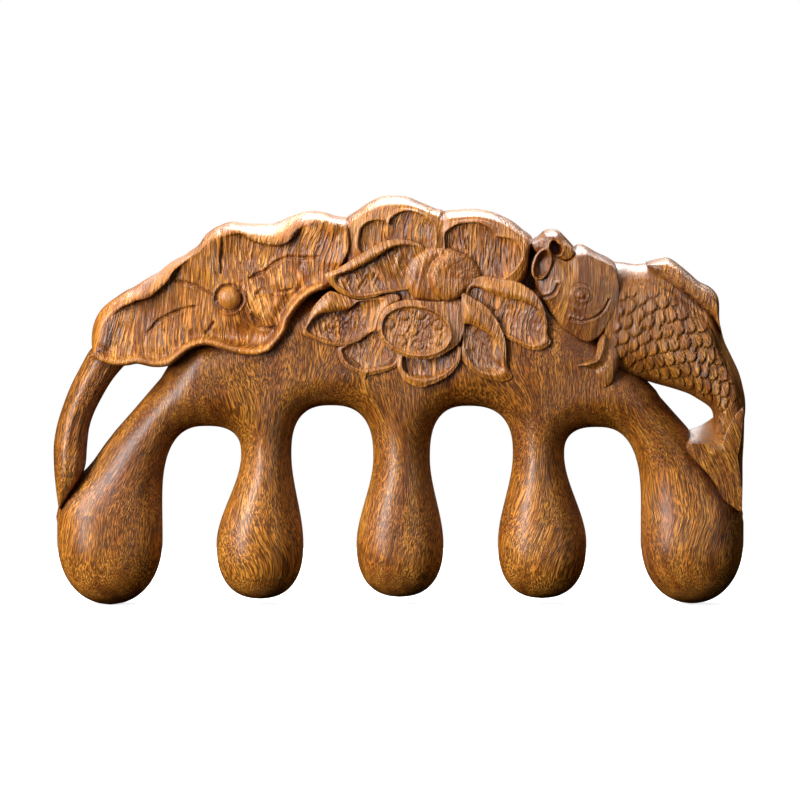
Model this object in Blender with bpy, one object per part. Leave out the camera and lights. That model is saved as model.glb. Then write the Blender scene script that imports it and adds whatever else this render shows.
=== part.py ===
"""Carved wooden massage comb: an arched spine with five drop-shaped teeth, under a carved lotus
leaf, a lotus flower with its seed pod, and a carp. The same carving is on both faces.

Metres, +Z up. The teeth point down, the length runs along X, and the front face looks to -Y.
The origin is under the middle of the comb, on the surface that the end teeth stand on.
Outlines are lists of (x, z) in millimetres, and every carving is the same height on both faces.
"""

import bmesh
import bpy
import numpy as np

MM = 0.001

# Thicknesses, each measured from the mid-plane of the comb to one face
SPINE_HALF = 7.0 * MM
SPINE_ROUNDING = 4.4 * MM
BULB_HALF = 8.0 * MM
EDGE_HALF = 1.0 * MM
SEAT_HALF = 5.2 * MM
LEAF_HALF = 8.0 * MM
BACK_PETAL_HALF = 7.4 * MM
HEAD_HALF = 8.2 * MM
BODY_HALF = 7.8 * MM
FIN_HALF = 6.4 * MM
BARBEL_HALF = 5.6 * MM
STEM_HALF = 6.2 * MM
PETAL_HALF = 8.1 * MM
POD_HALF = 8.8 * MM
BUD_HALF = 8.7 * MM
PLATE_ROUNDING = 1.0 * MM
HUB_WALL = 2.0 * MM
EYE_WALL = 1.4 * MM
CLEARANCE = 0.3 * MM
CUTTER_REACH = 12.0 * MM

# Teeth, counted from the left
MIDDLE_PITCH = 26.5 * MM
END_PITCH = 28.4 * MM
END_BULB_WIDTH = 20.0 * MM
MIDDLE_BULB_WIDTH = 16.5 * MM
END_ROOT_WIDTH = 19.6 * MM
MIDDLE_ROOT_WIDTH = 10.4 * MM
MIDDLE_LEAN = 1.0 * MM
END_TOOTH_TOP = 17.8 * MM
MIDDLE_TOOTH_TOP = 28.1 * MM
END_TIP = 0.0
MIDDLE_TIP = 1.1 * MM
END_WIDEST = 12.4 * MM
MIDDLE_WIDEST = 11.8 * MM
END_GAP_TOP = 33.7 * MM
MIDDLE_GAP_TOP = 37.5 * MM
GAP_FULLNESS = 2.6
TIP_FULLNESS = 2.4
TOOTH_SIDES = 20
STUB = 8.0 * MM

# Small round carvings
HUB_RADIUS = 2.4 * MM
HUB_HALF = 8.2 * MM
EYE_RADIUS = 2.1 * MM
EYE_HALF = 8.7 * MM
MOUTH_HALF_WIDTH = 1.8 * MM
MOUTH_HALF_HEIGHT = 3.0 * MM
MOUTH_TILT = -0.28
MOUTH_HALF = 7.4 * MM
HUB_CENTRE = (-32.0, 58.0)
EYE_CENTRE = (33.9, 59.4)
MOUTH_CENTRE = (26.6, 64.6)

# The leaf: its edge on the mid-plane, and the front rim that belongs to each point of the edge
LEAF_EDGE = [
    (-57.7, 47.3), (-58.0, 50.9), (-57.3, 53.7), (-55.2, 56.7), (-51.6, 59.2), (-48.6, 60.9),
    (-45.4, 62.7), (-42.0, 65.2), (-39.4, 66.7), (-36.4, 69.9), (-31.8, 72.2), (-27.9, 71.8),
    (-24.1, 71.8), (-20.2, 73.3), (-16.2, 74.2), (-12.2, 73.3), (-9.8, 72.5), (-9.4, 67.8),
    (-11.5, 63.7), (-13.2, 59.9), (-15.8, 58.8), (-19.2, 55.0), (-20.9, 51.1), (-24.5, 46.7),
    (-28.6, 46.0), (-33.0, 47.3), (-37.3, 48.0), (-41.1, 45.6), (-45.2, 44.1), (-49.4, 44.8),
    (-53.5, 44.3), (-56.1, 45.6),
]
LEAF_RIM = [
    (-56.7, 47.8), (-55.8, 50.4), (-55.0, 53.4), (-53.3, 55.7), (-50.5, 57.4), (-47.5, 58.3),
    (-44.5, 60.6), (-41.8, 63.8), (-39.0, 65.9), (-36.0, 68.5), (-31.7, 70.4), (-27.5, 69.3),
    (-24.1, 68.3), (-20.7, 69.3), (-16.6, 72.1), (-12.8, 71.9), (-10.6, 70.8), (-10.2, 68.1),
    (-12.1, 64.4), (-13.9, 61.0), (-16.2, 60.2), (-20.2, 56.3), (-21.9, 52.1), (-25.1, 48.2),
    (-28.4, 47.6), (-33.0, 49.1), (-37.3, 49.9), (-41.6, 47.6), (-45.2, 45.9), (-49.4, 46.5),
    (-53.5, 46.1), (-55.8, 47.0),
]

# The stem's middle line from the leaf down to the end tooth, and its half width at each point
STEM_LINE = [
    (-55.0, 46.5), (-56.3, 45.0), (-58.0, 42.4), (-59.7, 39.0), (-61.0, 35.2), (-62.0, 31.1),
    (-62.2, 27.3), (-62.5, 24.7), (-63.1, 22.3), (-63.9, 20.2), (-64.2, 18.5),
]
STEM_HALF_WIDTHS = [2.8, 2.8, 2.8, 2.8, 2.9, 3.0, 2.9, 2.3, 1.7, 1.1, 0.7]

# The two back petals, edge and rim as on the leaf
LEFT_PETAL_EDGE = [
    (-10.4, 72.4), (-7.9, 74.4), (-5.7, 75.9), (-3.4, 76.9), (-1.1, 77.2), (1.3, 76.9),
    (3.8, 75.9), (6.4, 74.8), (8.5, 73.7), (8.3, 68.8), (7.5, 62.6), (0.0, 61.0), (-8.6, 61.6),
    (-11.2, 67.3),
]
LEFT_PETAL_RIM = [
    (-9.6, 71.5), (-7.3, 73.0), (-5.3, 74.2), (-3.0, 74.7), (-1.1, 74.9), (1.3, 75.1),
    (3.8, 74.5), (5.8, 73.4), (8.2, 71.9), (8.0, 68.7), (7.2, 63.2), (0.0, 62.0), (-7.6, 62.6),
    (-10.2, 67.6),
]
RIGHT_PETAL_EDGE = [
    (7.9, 73.6), (10.7, 74.4), (13.4, 74.6), (15.8, 74.4), (18.3, 73.7), (21.1, 72.3),
    (23.0, 70.8), (24.9, 69.2), (24.5, 66.5), (24.1, 63.1), (21.7, 59.5), (17.0, 59.0),
    (12.8, 59.7), (8.0, 62.6), (7.7, 68.8),
]
RIGHT_PETAL_RIM = [
    (8.2, 72.1), (11.1, 72.7), (13.4, 72.8), (15.8, 72.7), (18.3, 71.7), (20.5, 70.4),
    (22.2, 69.3), (23.6, 67.9), (23.6, 66.1), (23.0, 63.6), (20.7, 60.4), (17.0, 60.0),
    (13.2, 60.7), (8.4, 63.2), (8.0, 68.7),
]

# The carp
HEAD = [
    (24.6, 58.4), (23.4, 60.7), (23.6, 65.2), (25.4, 67.4), (27.9, 67.1), (30.1, 66.0),
    (32.8, 67.3), (35.0, 67.6), (37.7, 66.3), (39.9, 64.8), (41.1, 62.4), (41.4, 59.5),
    (41.1, 56.5), (39.6, 54.1), (38.2, 52.0), (37.3, 50.5), (35.4, 49.6), (33.5, 50.1),
    (31.8, 51.1), (30.1, 52.2), (28.8, 53.9), (27.7, 54.8), (26.6, 56.7),
]
BARBEL = [
    (24.0, 68.8), (26.0, 69.9), (26.9, 70.5), (28.4, 70.8), (30.0, 70.1), (31.5, 69.0),
    (33.4, 67.3), (32.6, 65.2), (30.1, 64.4), (27.6, 65.6), (24.4, 66.0),
]
BODY = [
    (40.3, 64.8), (42.4, 64.8), (45.2, 64.6), (47.5, 64.8), (48.4, 61.4), (50.7, 59.5),
    (52.8, 58.0), (55.0, 56.7), (57.1, 54.3), (59.2, 52.0), (60.5, 51.4), (61.4, 48.8),
    (62.7, 46.2), (63.9, 43.7), (64.4, 41.3), (64.8, 38.8), (64.8, 36.6), (63.3, 34.7),
    (61.4, 33.2), (59.7, 32.8), (59.0, 34.7), (58.8, 36.7), (57.7, 37.9), (56.1, 38.8),
    (54.1, 40.0), (51.4, 40.9), (48.6, 41.6), (45.2, 42.6), (41.8, 43.2), (39.0, 44.1),
    (36.6, 48.2), (36.0, 50.5), (37.8, 54.0), (39.2, 57.0), (39.4, 60.0), (38.9, 63.2),
]
DORSAL_FIN = [
    (47.5, 64.9), (49.0, 65.3), (50.3, 65.5), (51.6, 64.9), (53.3, 63.6), (54.8, 62.3),
    (56.3, 61.0), (58.0, 60.2), (59.3, 59.1), (59.9, 57.6), (59.9, 54.5), (60.1, 52.3),
    (57.8, 51.6), (56.1, 53.2), (54.0, 55.4), (51.8, 56.9), (49.8, 58.2), (47.2, 60.4),
]
TAIL_FIN = [
    (53.9, 30.8), (54.8, 32.5), (56.5, 33.4), (58.8, 34.6), (60.2, 35.0), (61.8, 35.2),
    (63.3, 35.6), (65.0, 37.1), (65.0, 33.1), (64.6, 27.4), (64.6, 23.1), (64.4, 18.6),
    (62.7, 18.8), (60.7, 20.1), (59.2, 22.9), (57.5, 25.2), (55.8, 27.0), (53.5, 29.3),
]

# Carvings that stand on a flat seat: name, height, depth of the hollow, middle, outline.
# The nearest to the eye comes first, and each one is cut back by those before it.
PLATES = [
    ("seed_pod", POD_HALF, 0.0, (3.8, 52.3), [
        (-4.0, 53.8), (-3.0, 55.7), (-1.1, 56.8), (1.5, 57.4), (4.5, 57.2), (7.5, 57.2),
        (10.4, 57.6), (11.9, 56.8), (12.2, 54.9), (11.9, 51.9), (10.9, 49.3), (9.2, 48.0),
        (6.8, 47.2), (3.8, 47.0), (0.8, 48.0), (-1.5, 49.3), (-3.4, 51.2)]),
    ("lotus_bud", BUD_HALF, -1.0, (7.9, 62.5), [
        (0.9, 62.5), (1.7, 64.7), (3.0, 66.6), (5.7, 67.9), (8.7, 67.8), (11.5, 66.6),
        (13.6, 65.5), (14.9, 63.6), (15.1, 61.7), (13.8, 60.4), (12.2, 59.3), (10.4, 58.2),
        (8.5, 57.6), (5.7, 57.6), (2.8, 58.2), (1.1, 59.8)]),
    ("petal_6", PETAL_HALF, 1.0, (16.2, 49.4), [
        (12.2, 58.7), (13.8, 58.0), (16.0, 56.8), (17.5, 54.9), (18.7, 52.9), (19.6, 50.8),
        (19.8, 47.6), (19.8, 45.2), (21.3, 43.3), (20.0, 42.9), (17.7, 42.7), (15.3, 43.3),
        (13.4, 44.6), (11.9, 46.3), (11.7, 48.5), (12.1, 51.4), (12.1, 54.6)]),
    ("petal_5", PETAL_HALF, 1.0, (23.0, 55.4), [
        (13.9, 61.4), (15.3, 62.3), (18.5, 62.1), (21.7, 61.5), (23.6, 60.6), (25.2, 59.3),
        (26.6, 57.6), (27.5, 54.6), (27.5, 51.4), (28.3, 49.7), (26.4, 48.5), (23.9, 48.7),
        (22.0, 49.7), (20.3, 50.8), (18.8, 53.1), (17.3, 55.3), (15.8, 57.2), (13.9, 58.3),
        (12.8, 59.8)]),
    ("petal_4", PETAL_HALF, 1.0, (5.3, 46.4), [
        (-0.4, 47.4), (-0.6, 45.7), (-0.2, 44.4), (0.9, 42.7), (2.6, 41.6), (4.5, 41.4),
        (6.8, 42.1), (9.2, 43.5), (10.7, 45.2), (11.5, 47.0), (11.1, 49.3), (9.0, 50.0),
        (3.8, 49.7), (0.8, 49.3)]),
    ("petal_1", PETAL_HALF, 0.9, (-5.3, 63.7), [
        (-14.1, 62.5), (-11.7, 64.0), (-9.4, 65.3), (-7.2, 66.6), (-5.1, 67.9), (-3.0, 68.9),
        (-0.9, 69.3), (0.9, 69.3), (3.0, 68.5), (1.9, 65.1), (1.1, 62.1), (0.6, 59.8),
        (-1.3, 59.3), (-4.9, 58.3), (-7.9, 58.0), (-10.2, 59.1), (-12.4, 60.2)]),
    ("petal_2", PETAL_HALF, 0.9, (-9.4, 54.3), [
        (-18.1, 51.7), (-17.3, 53.8), (-16.6, 55.9), (-15.4, 57.6), (-14.1, 58.9), (-12.4, 59.8),
        (-10.2, 58.9), (-7.9, 57.8), (-4.9, 58.2), (-1.3, 59.1), (0.6, 59.5), (0.4, 57.4),
        (-2.3, 56.1), (-3.6, 53.8), (-4.1, 52.1), (-5.7, 51.6), (-7.5, 50.2), (-9.2, 49.5),
        (-11.3, 49.1), (-13.6, 49.5), (-16.2, 50.8)]),
    ("petal_3", PETAL_HALF, 0.9, (-6.4, 47.9), [
        (-11.7, 48.9), (-11.5, 47.0), (-10.4, 45.3), (-8.5, 44.2), (-6.8, 43.3), (-4.7, 43.6),
        (-2.6, 44.4), (-0.8, 45.2), (0.0, 47.0), (-0.4, 48.5), (-2.6, 50.4), (-4.1, 51.9),
        (-5.7, 51.4), (-7.5, 50.0), (-9.4, 49.3)]),
    ("carp_pectoral_fin", PETAL_HALF, 0.5, (38.2, 46.3), [
        (33.2, 45.7), (35.2, 46.8), (36.7, 48.4), (37.3, 50.4), (38.8, 50.8), (39.9, 49.3),
        (40.9, 47.0), (40.9, 45.2), (40.3, 43.6), (39.9, 42.5), (38.4, 41.2), (37.7, 42.1),
        (36.4, 44.2), (34.9, 45.3)]),
]

# The spine's outline above its teeth. Its top lies hidden behind the leaf, the flower and the
# carp, which cut it back to their own edges.
SPINE_LEFT = [
    (-63.2, 14.0), (-63.0, 19.8), (-61.8, 22.0), (-60.1, 23.9), (-58.8, 26.0), (-57.3, 27.9),
    (-55.6, 30.3), (-53.5, 33.0), (-50.5, 36.4), (-47.5, 39.9), (-45.6, 42.2), (-44.5, 43.5),
    (-43.0, 45.4),
]
SPINE_TOP = [
    (-37.7, 50.9), (-28.3, 51.8), (-20.7, 57.5), (-11.3, 62.2), (0.0, 64.6), (13.2, 63.1),
    (24.5, 59.3), (30.1, 53.7), (35.8, 49.0), (42.4, 44.3),
]
SPINE_RIGHT = [
    (46.2, 42.6), (48.2, 40.5), (50.7, 37.3), (52.4, 35.4), (54.1, 33.3), (55.8, 31.1),
    (58.8, 27.3), (61.2, 22.5), (61.9, 19.5), (61.9, 14.0),
]

# How a hollow carving steps in from its outline: share of the outline, share of the hollow,
# and share of the wall that the edge is rounded by
HOLLOW_STEPS = [(1.0, 0.0, 1.2), (0.965, 0.0, 0.35), (0.9, 0.0, 0.0), (0.8, 0.55, 0.0),
                (0.55, 1.0, 0.0), (0.2, 0.75, 0.0)]
WOOD = (0.42, 0.22, 0.075, 1.0)


def collection(name):
    """A new collection in the scene, by its name."""
    group = bpy.data.collections.new(name)
    bpy.context.scene.collection.children.link(group)
    return group


def metres(points):
    """An outline in metres, as an array with a row for each point."""
    return np.array(points) * MM


def grown(outline, margin):
    """The outline moved outwards by the margin, with its corners kept sharp."""
    ahead = np.roll(outline, -1, 0) - outline
    ahead /= np.linalg.norm(ahead, axis=1, keepdims=True)
    normal = np.stack([ahead[:, 1], -ahead[:, 0]], 1)
    x, z = outline.T
    area = np.sum(x * np.roll(z, -1) - np.roll(x, -1) * z)
    normal *= np.sign(area)
    last = np.roll(normal, 1, 0)
    spread = np.maximum(1 + np.sum(normal * last, axis=1, keepdims=True), 0.4)
    return outline + margin * (normal + last) / spread


def level(outline, y):
    """The outline as a ring of points at one depth."""
    return np.stack([outline[:, 0], np.full(len(outline), y), outline[:, 1]], 1)


def drawn_in(outline, middle, share):
    """The outline shrunk towards its middle."""
    middle = np.array(middle) * MM
    return middle + share * (outline - middle)


def add_solid(name, mesh, group, cutter=False):
    """An object for a finished mesh, with its own wood, or a hidden cutter without one."""
    piece = bpy.data.objects.new(name, mesh)
    group.objects.link(piece)
    if cutter:
        piece.hide_render = True
        piece.display_type = "WIRE"
        return piece
    wood = bpy.data.materials.new(name + "_wood")
    wood.use_nodes = True
    shader = wood.node_tree.nodes["Principled BSDF"]
    shader.inputs["Base Color"].default_value = WOOD
    shader.inputs["Roughness"].default_value = 0.42
    shader.inputs["Metallic"].default_value = 0.0
    mesh.materials.append(wood)
    mesh.shade_smooth()
    mesh.set_sharp_from_angle(angle=0.7)
    return piece


def loft(name, rings, group, cutter=False):
    """A closed solid through rings of equally many points, with a flat face on each end ring."""
    rings = np.array(rings)
    count = rings.shape[1]
    corners = np.arange(count)
    following = (corners + 1) % count
    shape = bmesh.new()
    points = [shape.verts.new(point) for point in rings.reshape(-1, 3)]
    for start in range(0, (len(rings) - 1) * count, count):
        for a, b in zip(corners + start, following + start):
            shape.faces.new((points[a], points[b], points[b + count], points[a + count]))
    shape.faces.new(points[:count])
    shape.faces.new(points[-count:])
    bmesh.ops.recalc_face_normals(shape, faces=shape.faces)
    mesh = bpy.data.meshes.new(name)
    shape.to_mesh(mesh)
    shape.free()
    return add_solid(name, mesh, group, cutter)


def prism(name, outline, low, high):
    """A cutter: the outline grown by the clearance, between two depths."""
    ring = grown(outline, CLEARANCE)
    return loft(name, [level(ring, low), level(ring, high)], CUTTERS, cutter=True)


def meets(one, other):
    """Whether the boxes around two outlines overlap, with the clearance added."""
    gap = 2 * CLEARANCE
    return bool(np.all(one.min(0) - gap < other.max(0)) and np.all(other.min(0) - gap < one.max(0)))


def cut(piece, cutter):
    """Cuts one closed shape out of a piece."""
    boolean = piece.modifiers.new("cut_" + cutter.name, "BOOLEAN")
    boolean.operation = "DIFFERENCE"
    boolean.solver = "EXACT"
    boolean.object = cutter


def carved_disc(name, edge, rim, middle, steps, waist=0.45):
    """A carving of full thickness: its edge on the mid-plane, a crown out to the rim on each
    face, and then the steps in from the rim, as (share of the rim, depth from mid-plane)."""
    half = steps[0][1]
    face = [level(drawn_in(rim, middle, share), -depth) for share, depth in reversed(steps)]
    face.append(level(waist * edge + (1 - waist) * rim, -0.72 * half))
    face.append(level(edge, -EDGE_HALF))
    back = [ring * (1, -1, 1) for ring in reversed(face)]
    return loft(name, face + back, COMB)


def domed(half, shares=(1.0, 0.93, 0.8, 0.6, 0.35, 0.12), fullness=2.4):
    """Steps of a rounded back: the depth follows a superellipse from the rim to the middle."""
    return [(share, max(half * (1 - share ** fullness) ** (1 / fullness), EDGE_HALF * 1.5))
            for share in shares]


def superellipse(width, height, fullness, sides):
    """Points around a superellipse of the given half width and half height."""
    angle = np.arange(sides) * 2 * np.pi / sides
    across = np.sign(np.cos(angle)) * np.abs(np.cos(angle)) ** (2 / fullness)
    along = np.sign(np.sin(angle)) * np.abs(np.sin(angle)) ** (2 / fullness)
    return across * width, along * height


for old in list(bpy.data.objects):
    bpy.data.objects.remove(old)
COMB = collection("massage_comb")
CUTTERS = collection("cutters")

# Teeth: drops, swollen above a rounded tip and drawn in to the root that meets the spine
ROOTS = np.array([-MIDDLE_PITCH - END_PITCH, -MIDDLE_PITCH, 0.0, MIDDLE_PITCH,
                  MIDDLE_PITCH + END_PITCH])
LEANS = np.array([0.0, MIDDLE_LEAN, 0.0, -MIDDLE_LEAN, 0.0])
IS_END = [True, False, False, False, True]


def tooth(number):
    """One tooth: rings whose half width is a superellipse below the widest height, and above it
    eases from the bulb to the root. The root leans towards the middle of the comb."""
    end = IS_END[number]
    tip = END_TIP if end else MIDDLE_TIP
    widest = END_WIDEST if end else MIDDLE_WIDEST
    top = END_TOOTH_TOP if end else MIDDLE_TOOTH_TOP
    bulb = (END_BULB_WIDTH if end else MIDDLE_BULB_WIDTH) / 2
    root = (END_ROOT_WIDTH if end else MIDDLE_ROOT_WIDTH) / 2
    rings = []
    turns = np.radians([84, 72, 57, 40, 20])
    for turn in turns:
        height = widest - (widest - tip) * np.sin(turn) / np.sin(turns[0])
        share = (1 - np.sin(turn) ** TIP_FULLNESS) ** (1 / TIP_FULLNESS)
        rings.append((height, share, bulb * share, BULB_HALF * share))
    for rise in np.linspace(0, 1, 3 if end else 7):
        ease = rise * rise * (3 - 2 * rise)
        rings.append((widest + rise * (top - widest), 1 + ease, bulb + ease * (root - bulb),
                      BULB_HALF + ease * (SPINE_HALF - BULB_HALF)))
    solid = []
    for height, share, half_width, half_depth in rings:
        shift = LEANS[number] * max(share - 1, 0)
        x, y = superellipse(half_width, half_depth, 2 + 0.5 * max(share - 1, 0), TOOTH_SIDES)
        solid.append(np.stack([ROOTS[number] + shift + x, y, np.full(TOOTH_SIDES, height)], 1))
    return loft("tooth_%d" % (number + 1), solid, COMB)


teeth = [tooth(number) for number in range(len(ROOTS))]

# Carvings on their seats, on both faces, each cut back by the ones nearer the eye
PLATE_OUTLINES = {name: metres(points) for name, _, _, _, points in PLATES}


def round_outline(centre, half_width, half_height, tilt=0.0, sides=20):
    """An ellipse round a centre in millimetres, turned by the tilt."""
    x, z = superellipse(half_width, half_height, 2.0, sides)
    turned = np.stack([x * np.cos(tilt) - z * np.sin(tilt), x * np.sin(tilt) + z * np.cos(tilt)], 1)
    return turned + np.array(centre) * MM


def plate(name, face, outline, middle, seat, half, hollow):
    """A carving with a flat back on its seat and a rounded rim round its hollow, or, with a
    negative hollow, a crown that rises from the edge."""
    wall = half - seat - CLEARANCE
    rings = [level(outline, seat + CLEARANCE)]
    for share, sunk, rounding in HOLLOW_STEPS:
        depth = half - max(hollow, 0) * MM * sunk - rounding * min(PLATE_ROUNDING, wall / 2)
        if hollow < 0:
            depth = seat + CLEARANCE + wall * (0.35 + 0.65 * (1 - share ** 2.2))
        rings.append(level(drawn_in(outline, middle, share), depth))
    side = -1 if face == "front" else 1
    return loft(name + "_" + face, [ring * (1, side, 1) for ring in rings], COMB)


def seat_cutter(name, face, outline, seat):
    """The seat that a carving needs in what lies behind it."""
    side = -1 if face == "front" else 1
    return prism(name + "_seat_" + face, outline, side * seat, side * CUTTER_REACH)


seats = []
for face in ("front", "back"):
    nearer = []
    for name, half, hollow, middle, _ in PLATES:
        outline = PLATE_OUTLINES[name]
        piece = plate(name, face, outline, middle, SEAT_HALF, half, hollow)
        for other, cutter in nearer:
            if meets(outline, other):
                cut(piece, cutter)
        nearer.append((outline, seat_cutter(name, face, outline, SEAT_HALF)))
    seats += nearer

# The leaf's hub, the carp's eyes and its mouth: small round plates in shallower seats
HUB_SEAT = LEAF_HALF - HUB_WALL
EYE_SEAT = HEAD_HALF - EYE_WALL
MOUTH_SEAT = HEAD_HALF / 2
hub_outline = round_outline(HUB_CENTRE, HUB_RADIUS, HUB_RADIUS)
eye_outline = round_outline(EYE_CENTRE, EYE_RADIUS, EYE_RADIUS)
mouth_outline = round_outline(MOUTH_CENTRE, MOUTH_HALF_WIDTH, MOUTH_HALF_HEIGHT, MOUTH_TILT)
for face in ("front", "back"):
    plate("leaf_hub", face, hub_outline, HUB_CENTRE, HUB_SEAT, HUB_HALF, -1.0)
    plate("carp_eye", face, eye_outline, EYE_CENTRE, EYE_SEAT, EYE_HALF, -1.0)
    plate("carp_mouth", face, mouth_outline, MOUTH_CENTRE, MOUTH_SEAT, MOUTH_HALF, 1.2)
    seats.append((hub_outline, seat_cutter("leaf_hub", face, hub_outline, HUB_SEAT)))
    seats.append((eye_outline, seat_cutter("carp_eye", face, eye_outline, EYE_SEAT)))
    seats.append((mouth_outline, seat_cutter("carp_mouth", face, mouth_outline, MOUTH_SEAT)))

# The leaf: a rolled rim, a hollow blade and a low rise round the hub
leaf_edge = metres(LEAF_EDGE)
leaf_rim = metres(LEAF_RIM)
leaf = carved_disc("lotus_leaf", leaf_edge, leaf_rim, HUB_CENTRE, [
    (1.0, LEAF_HALF - 0.4 * MM), (0.97, LEAF_HALF), (0.93, LEAF_HALF - 0.7 * MM),
    (0.86, LEAF_HALF - 1.5 * MM), (0.55, LEAF_HALF - 1.1 * MM), (0.25, LEAF_HALF - 1.3 * MM)])

# The stem: a flattened tube down the left side, from the leaf to the end tooth
stem_line = np.array(STEM_LINE) * MM
stem_widths = np.array(STEM_HALF_WIDTHS)[:, None] * MM
stem_run = np.gradient(stem_line, axis=0)
stem_run /= np.linalg.norm(stem_run, axis=1, keepdims=True)
stem_side = np.stack([stem_run[:, 1], -stem_run[:, 0]], 1)
stem_outline = np.concatenate([stem_line + stem_side * stem_widths,
                               (stem_line - stem_side * stem_widths)[::-1]])
stem_rings = []
for place, side, width in zip(stem_line, stem_side, stem_widths[:, 0]):
    depth = STEM_HALF * min(1.0, 0.35 + width / stem_widths.max())
    across, y = superellipse(width, depth, 2.2, TOOTH_SIDES)
    stem_rings.append(np.stack([place[0] + side[0] * across, y, place[1] + side[1] * across], 1))
stem = loft("leaf_stem", stem_rings, COMB)

# The back petals: broad dishes whose crowns make the top of the comb
PETAL_STEPS = [(1.0, BACK_PETAL_HALF - 0.3 * MM), (0.96, BACK_PETAL_HALF),
               (0.88, BACK_PETAL_HALF - 0.1 * MM), (0.8, BACK_PETAL_HALF - 1.0 * MM),
               (0.4, BACK_PETAL_HALF - 1.2 * MM)]
left_edge = metres(LEFT_PETAL_EDGE)
right_edge = metres(RIGHT_PETAL_EDGE)
left_petal = carved_disc("back_petal_left", left_edge, metres(LEFT_PETAL_RIM), (-0.6, 69.1),
                         PETAL_STEPS)
right_petal = carved_disc("back_petal_right", right_edge, metres(RIGHT_PETAL_RIM), (16.6, 66.9),
                          PETAL_STEPS)

# The carp: domed head and body, and flatter fins
CARP_DISCS = [
    ("carp_head", HEAD, EYE_CENTRE, domed(HEAD_HALF)),
    ("carp_barbel", BARBEL, (29.4, 68.3), domed(BARBEL_HALF, shares=(1.0, 0.85, 0.6, 0.3))),
    ("carp_body", BODY, (50.5, 52.2), domed(BODY_HALF)),
    ("carp_dorsal_fin", DORSAL_FIN, (55.6, 59.4), domed(FIN_HALF, shares=(1.0, 0.88, 0.6, 0.3))),
    ("carp_tail_fin", TAIL_FIN, (60.9, 27.2), domed(SPINE_HALF, shares=(1.0, 0.9, 0.7, 0.35))),
]
carp = []
for name, points, middle, steps in CARP_DISCS:
    outline = metres(points)
    rings = [level(drawn_in(outline, middle, share), -depth) for share, depth in reversed(steps)]
    rings += [ring * (1, -1, 1) for ring in reversed(rings)]
    carp.append((loft(name, rings, COMB), outline))

# The spine: a rounded plate whose lower edge carries the teeth and arches over each gap
def gap_arc(left, right, left_base, right_base, top):
    """The edge of one gap, from its left foot over the arch to its right foot: two quarters of a
    superellipse that meet at the top."""
    middle = (left + right) / 2
    turn = np.radians(np.linspace(0, 90, 7))
    side = np.cos(turn) ** (2 / GAP_FULLNESS)
    rise = np.sin(turn) ** (2 / GAP_FULLNESS)
    climb = np.stack([middle - side * (middle - left), left_base + rise * (top - left_base)], 1)
    fall = np.stack([middle + side * (right - middle), right_base + rise * (top - right_base)], 1)
    return np.concatenate([climb, fall[-2::-1]])


tops = np.where(IS_END, END_TOOTH_TOP, MIDDLE_TOOTH_TOP)
halves = np.where(IS_END, END_ROOT_WIDTH, MIDDLE_ROOT_WIDTH) / 2
gap_tops = [END_GAP_TOP, MIDDLE_GAP_TOP, MIDDLE_GAP_TOP, END_GAP_TOP]
feet_left = ROOTS + LEANS - halves
feet_right = ROOTS + LEANS + halves
lower_edge = []
for gap, top in enumerate(gap_tops):
    arc = gap_arc(feet_right[gap], feet_left[gap + 1], tops[gap], tops[gap + 1], top)
    drop = np.array([[arc[0, 0], arc[0, 1] - STUB]])
    land = np.array([[arc[-1, 0], arc[-1, 1] - STUB]])
    lower_edge += [drop, arc, land]
upper_edge = np.array(SPINE_LEFT + SPINE_TOP + SPINE_RIGHT) * MM
upper_edge[[0, -1], 1] = END_TOOTH_TOP - STUB
spine_outline = np.concatenate([upper_edge, np.concatenate(lower_edge)[::-1]])

curve = bpy.data.curves.new("spine_outline", "CURVE")
curve.dimensions = "2D"
curve.fill_mode = "BOTH"
line = curve.splines.new("POLY")
line.points.add(len(spine_outline) - 1)
line.points.foreach_set("co", np.column_stack([
    spine_outline, np.zeros(len(spine_outline)), np.ones(len(spine_outline))]).ravel())
line.use_cyclic_u = True
curve.extrude = SPINE_HALF - SPINE_ROUNDING
curve.bevel_depth = SPINE_ROUNDING
curve.bevel_resolution = 2
curve.offset = -SPINE_ROUNDING
outline_object = bpy.data.objects.new("spine_outline", curve)
COMB.objects.link(outline_object)
outline_object.rotation_euler = (np.pi / 2, 0, 0)
bpy.context.view_layer.update()
mesh = bpy.data.meshes.new_from_object(
    outline_object.evaluated_get(bpy.context.evaluated_depsgraph_get()))
mesh.transform(outline_object.matrix_world)
bpy.data.objects.remove(outline_object)
shape = bmesh.new()
shape.from_mesh(mesh)
bmesh.ops.remove_doubles(shape, verts=shape.verts, dist=1e-6)
bmesh.ops.recalc_face_normals(shape, faces=shape.faces)
shape.to_mesh(mesh)
shape.free()
spine = add_solid("comb_spine", mesh, COMB)

# The cuts: each full carving is cut back by those before it, and the spine by all of them
stack = [(leaf, leaf_edge), (left_petal, left_edge), (right_petal, right_edge)] + carp
stack.append((stem, stem_outline))
for piece, tooth_outline in ((teeth[0], stem_outline), (teeth[-1], carp[-1][1])):
    cut(piece, prism("clear_of_" + piece.name, tooth_outline, -CUTTER_REACH, CUTTER_REACH))
before = []
for piece, outline in stack + [(spine, spine_outline)]:
    for other, cutter in before:
        if meets(outline, other):
            cut(piece, cutter)
    for other, cutter in seats:
        if meets(outline, other):
            cut(piece, cutter)
    if piece is not spine:
        through = prism("through_" + piece.name, outline, -CUTTER_REACH, CUTTER_REACH)
        before.append((outline, through))
for number, root in enumerate(ROOTS + LEANS):
    low = np.array([root - 2 * halves[number], tops[number] - 3 * STUB])
    high = np.array([root + 2 * halves[number], tops[number]])
    box = np.array([low, (high[0], low[1]), high, (low[0], high[1])])
    cut(spine, prism("foot_%d" % (number + 1), box, -CUTTER_REACH, CUTTER_REACH))
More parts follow.
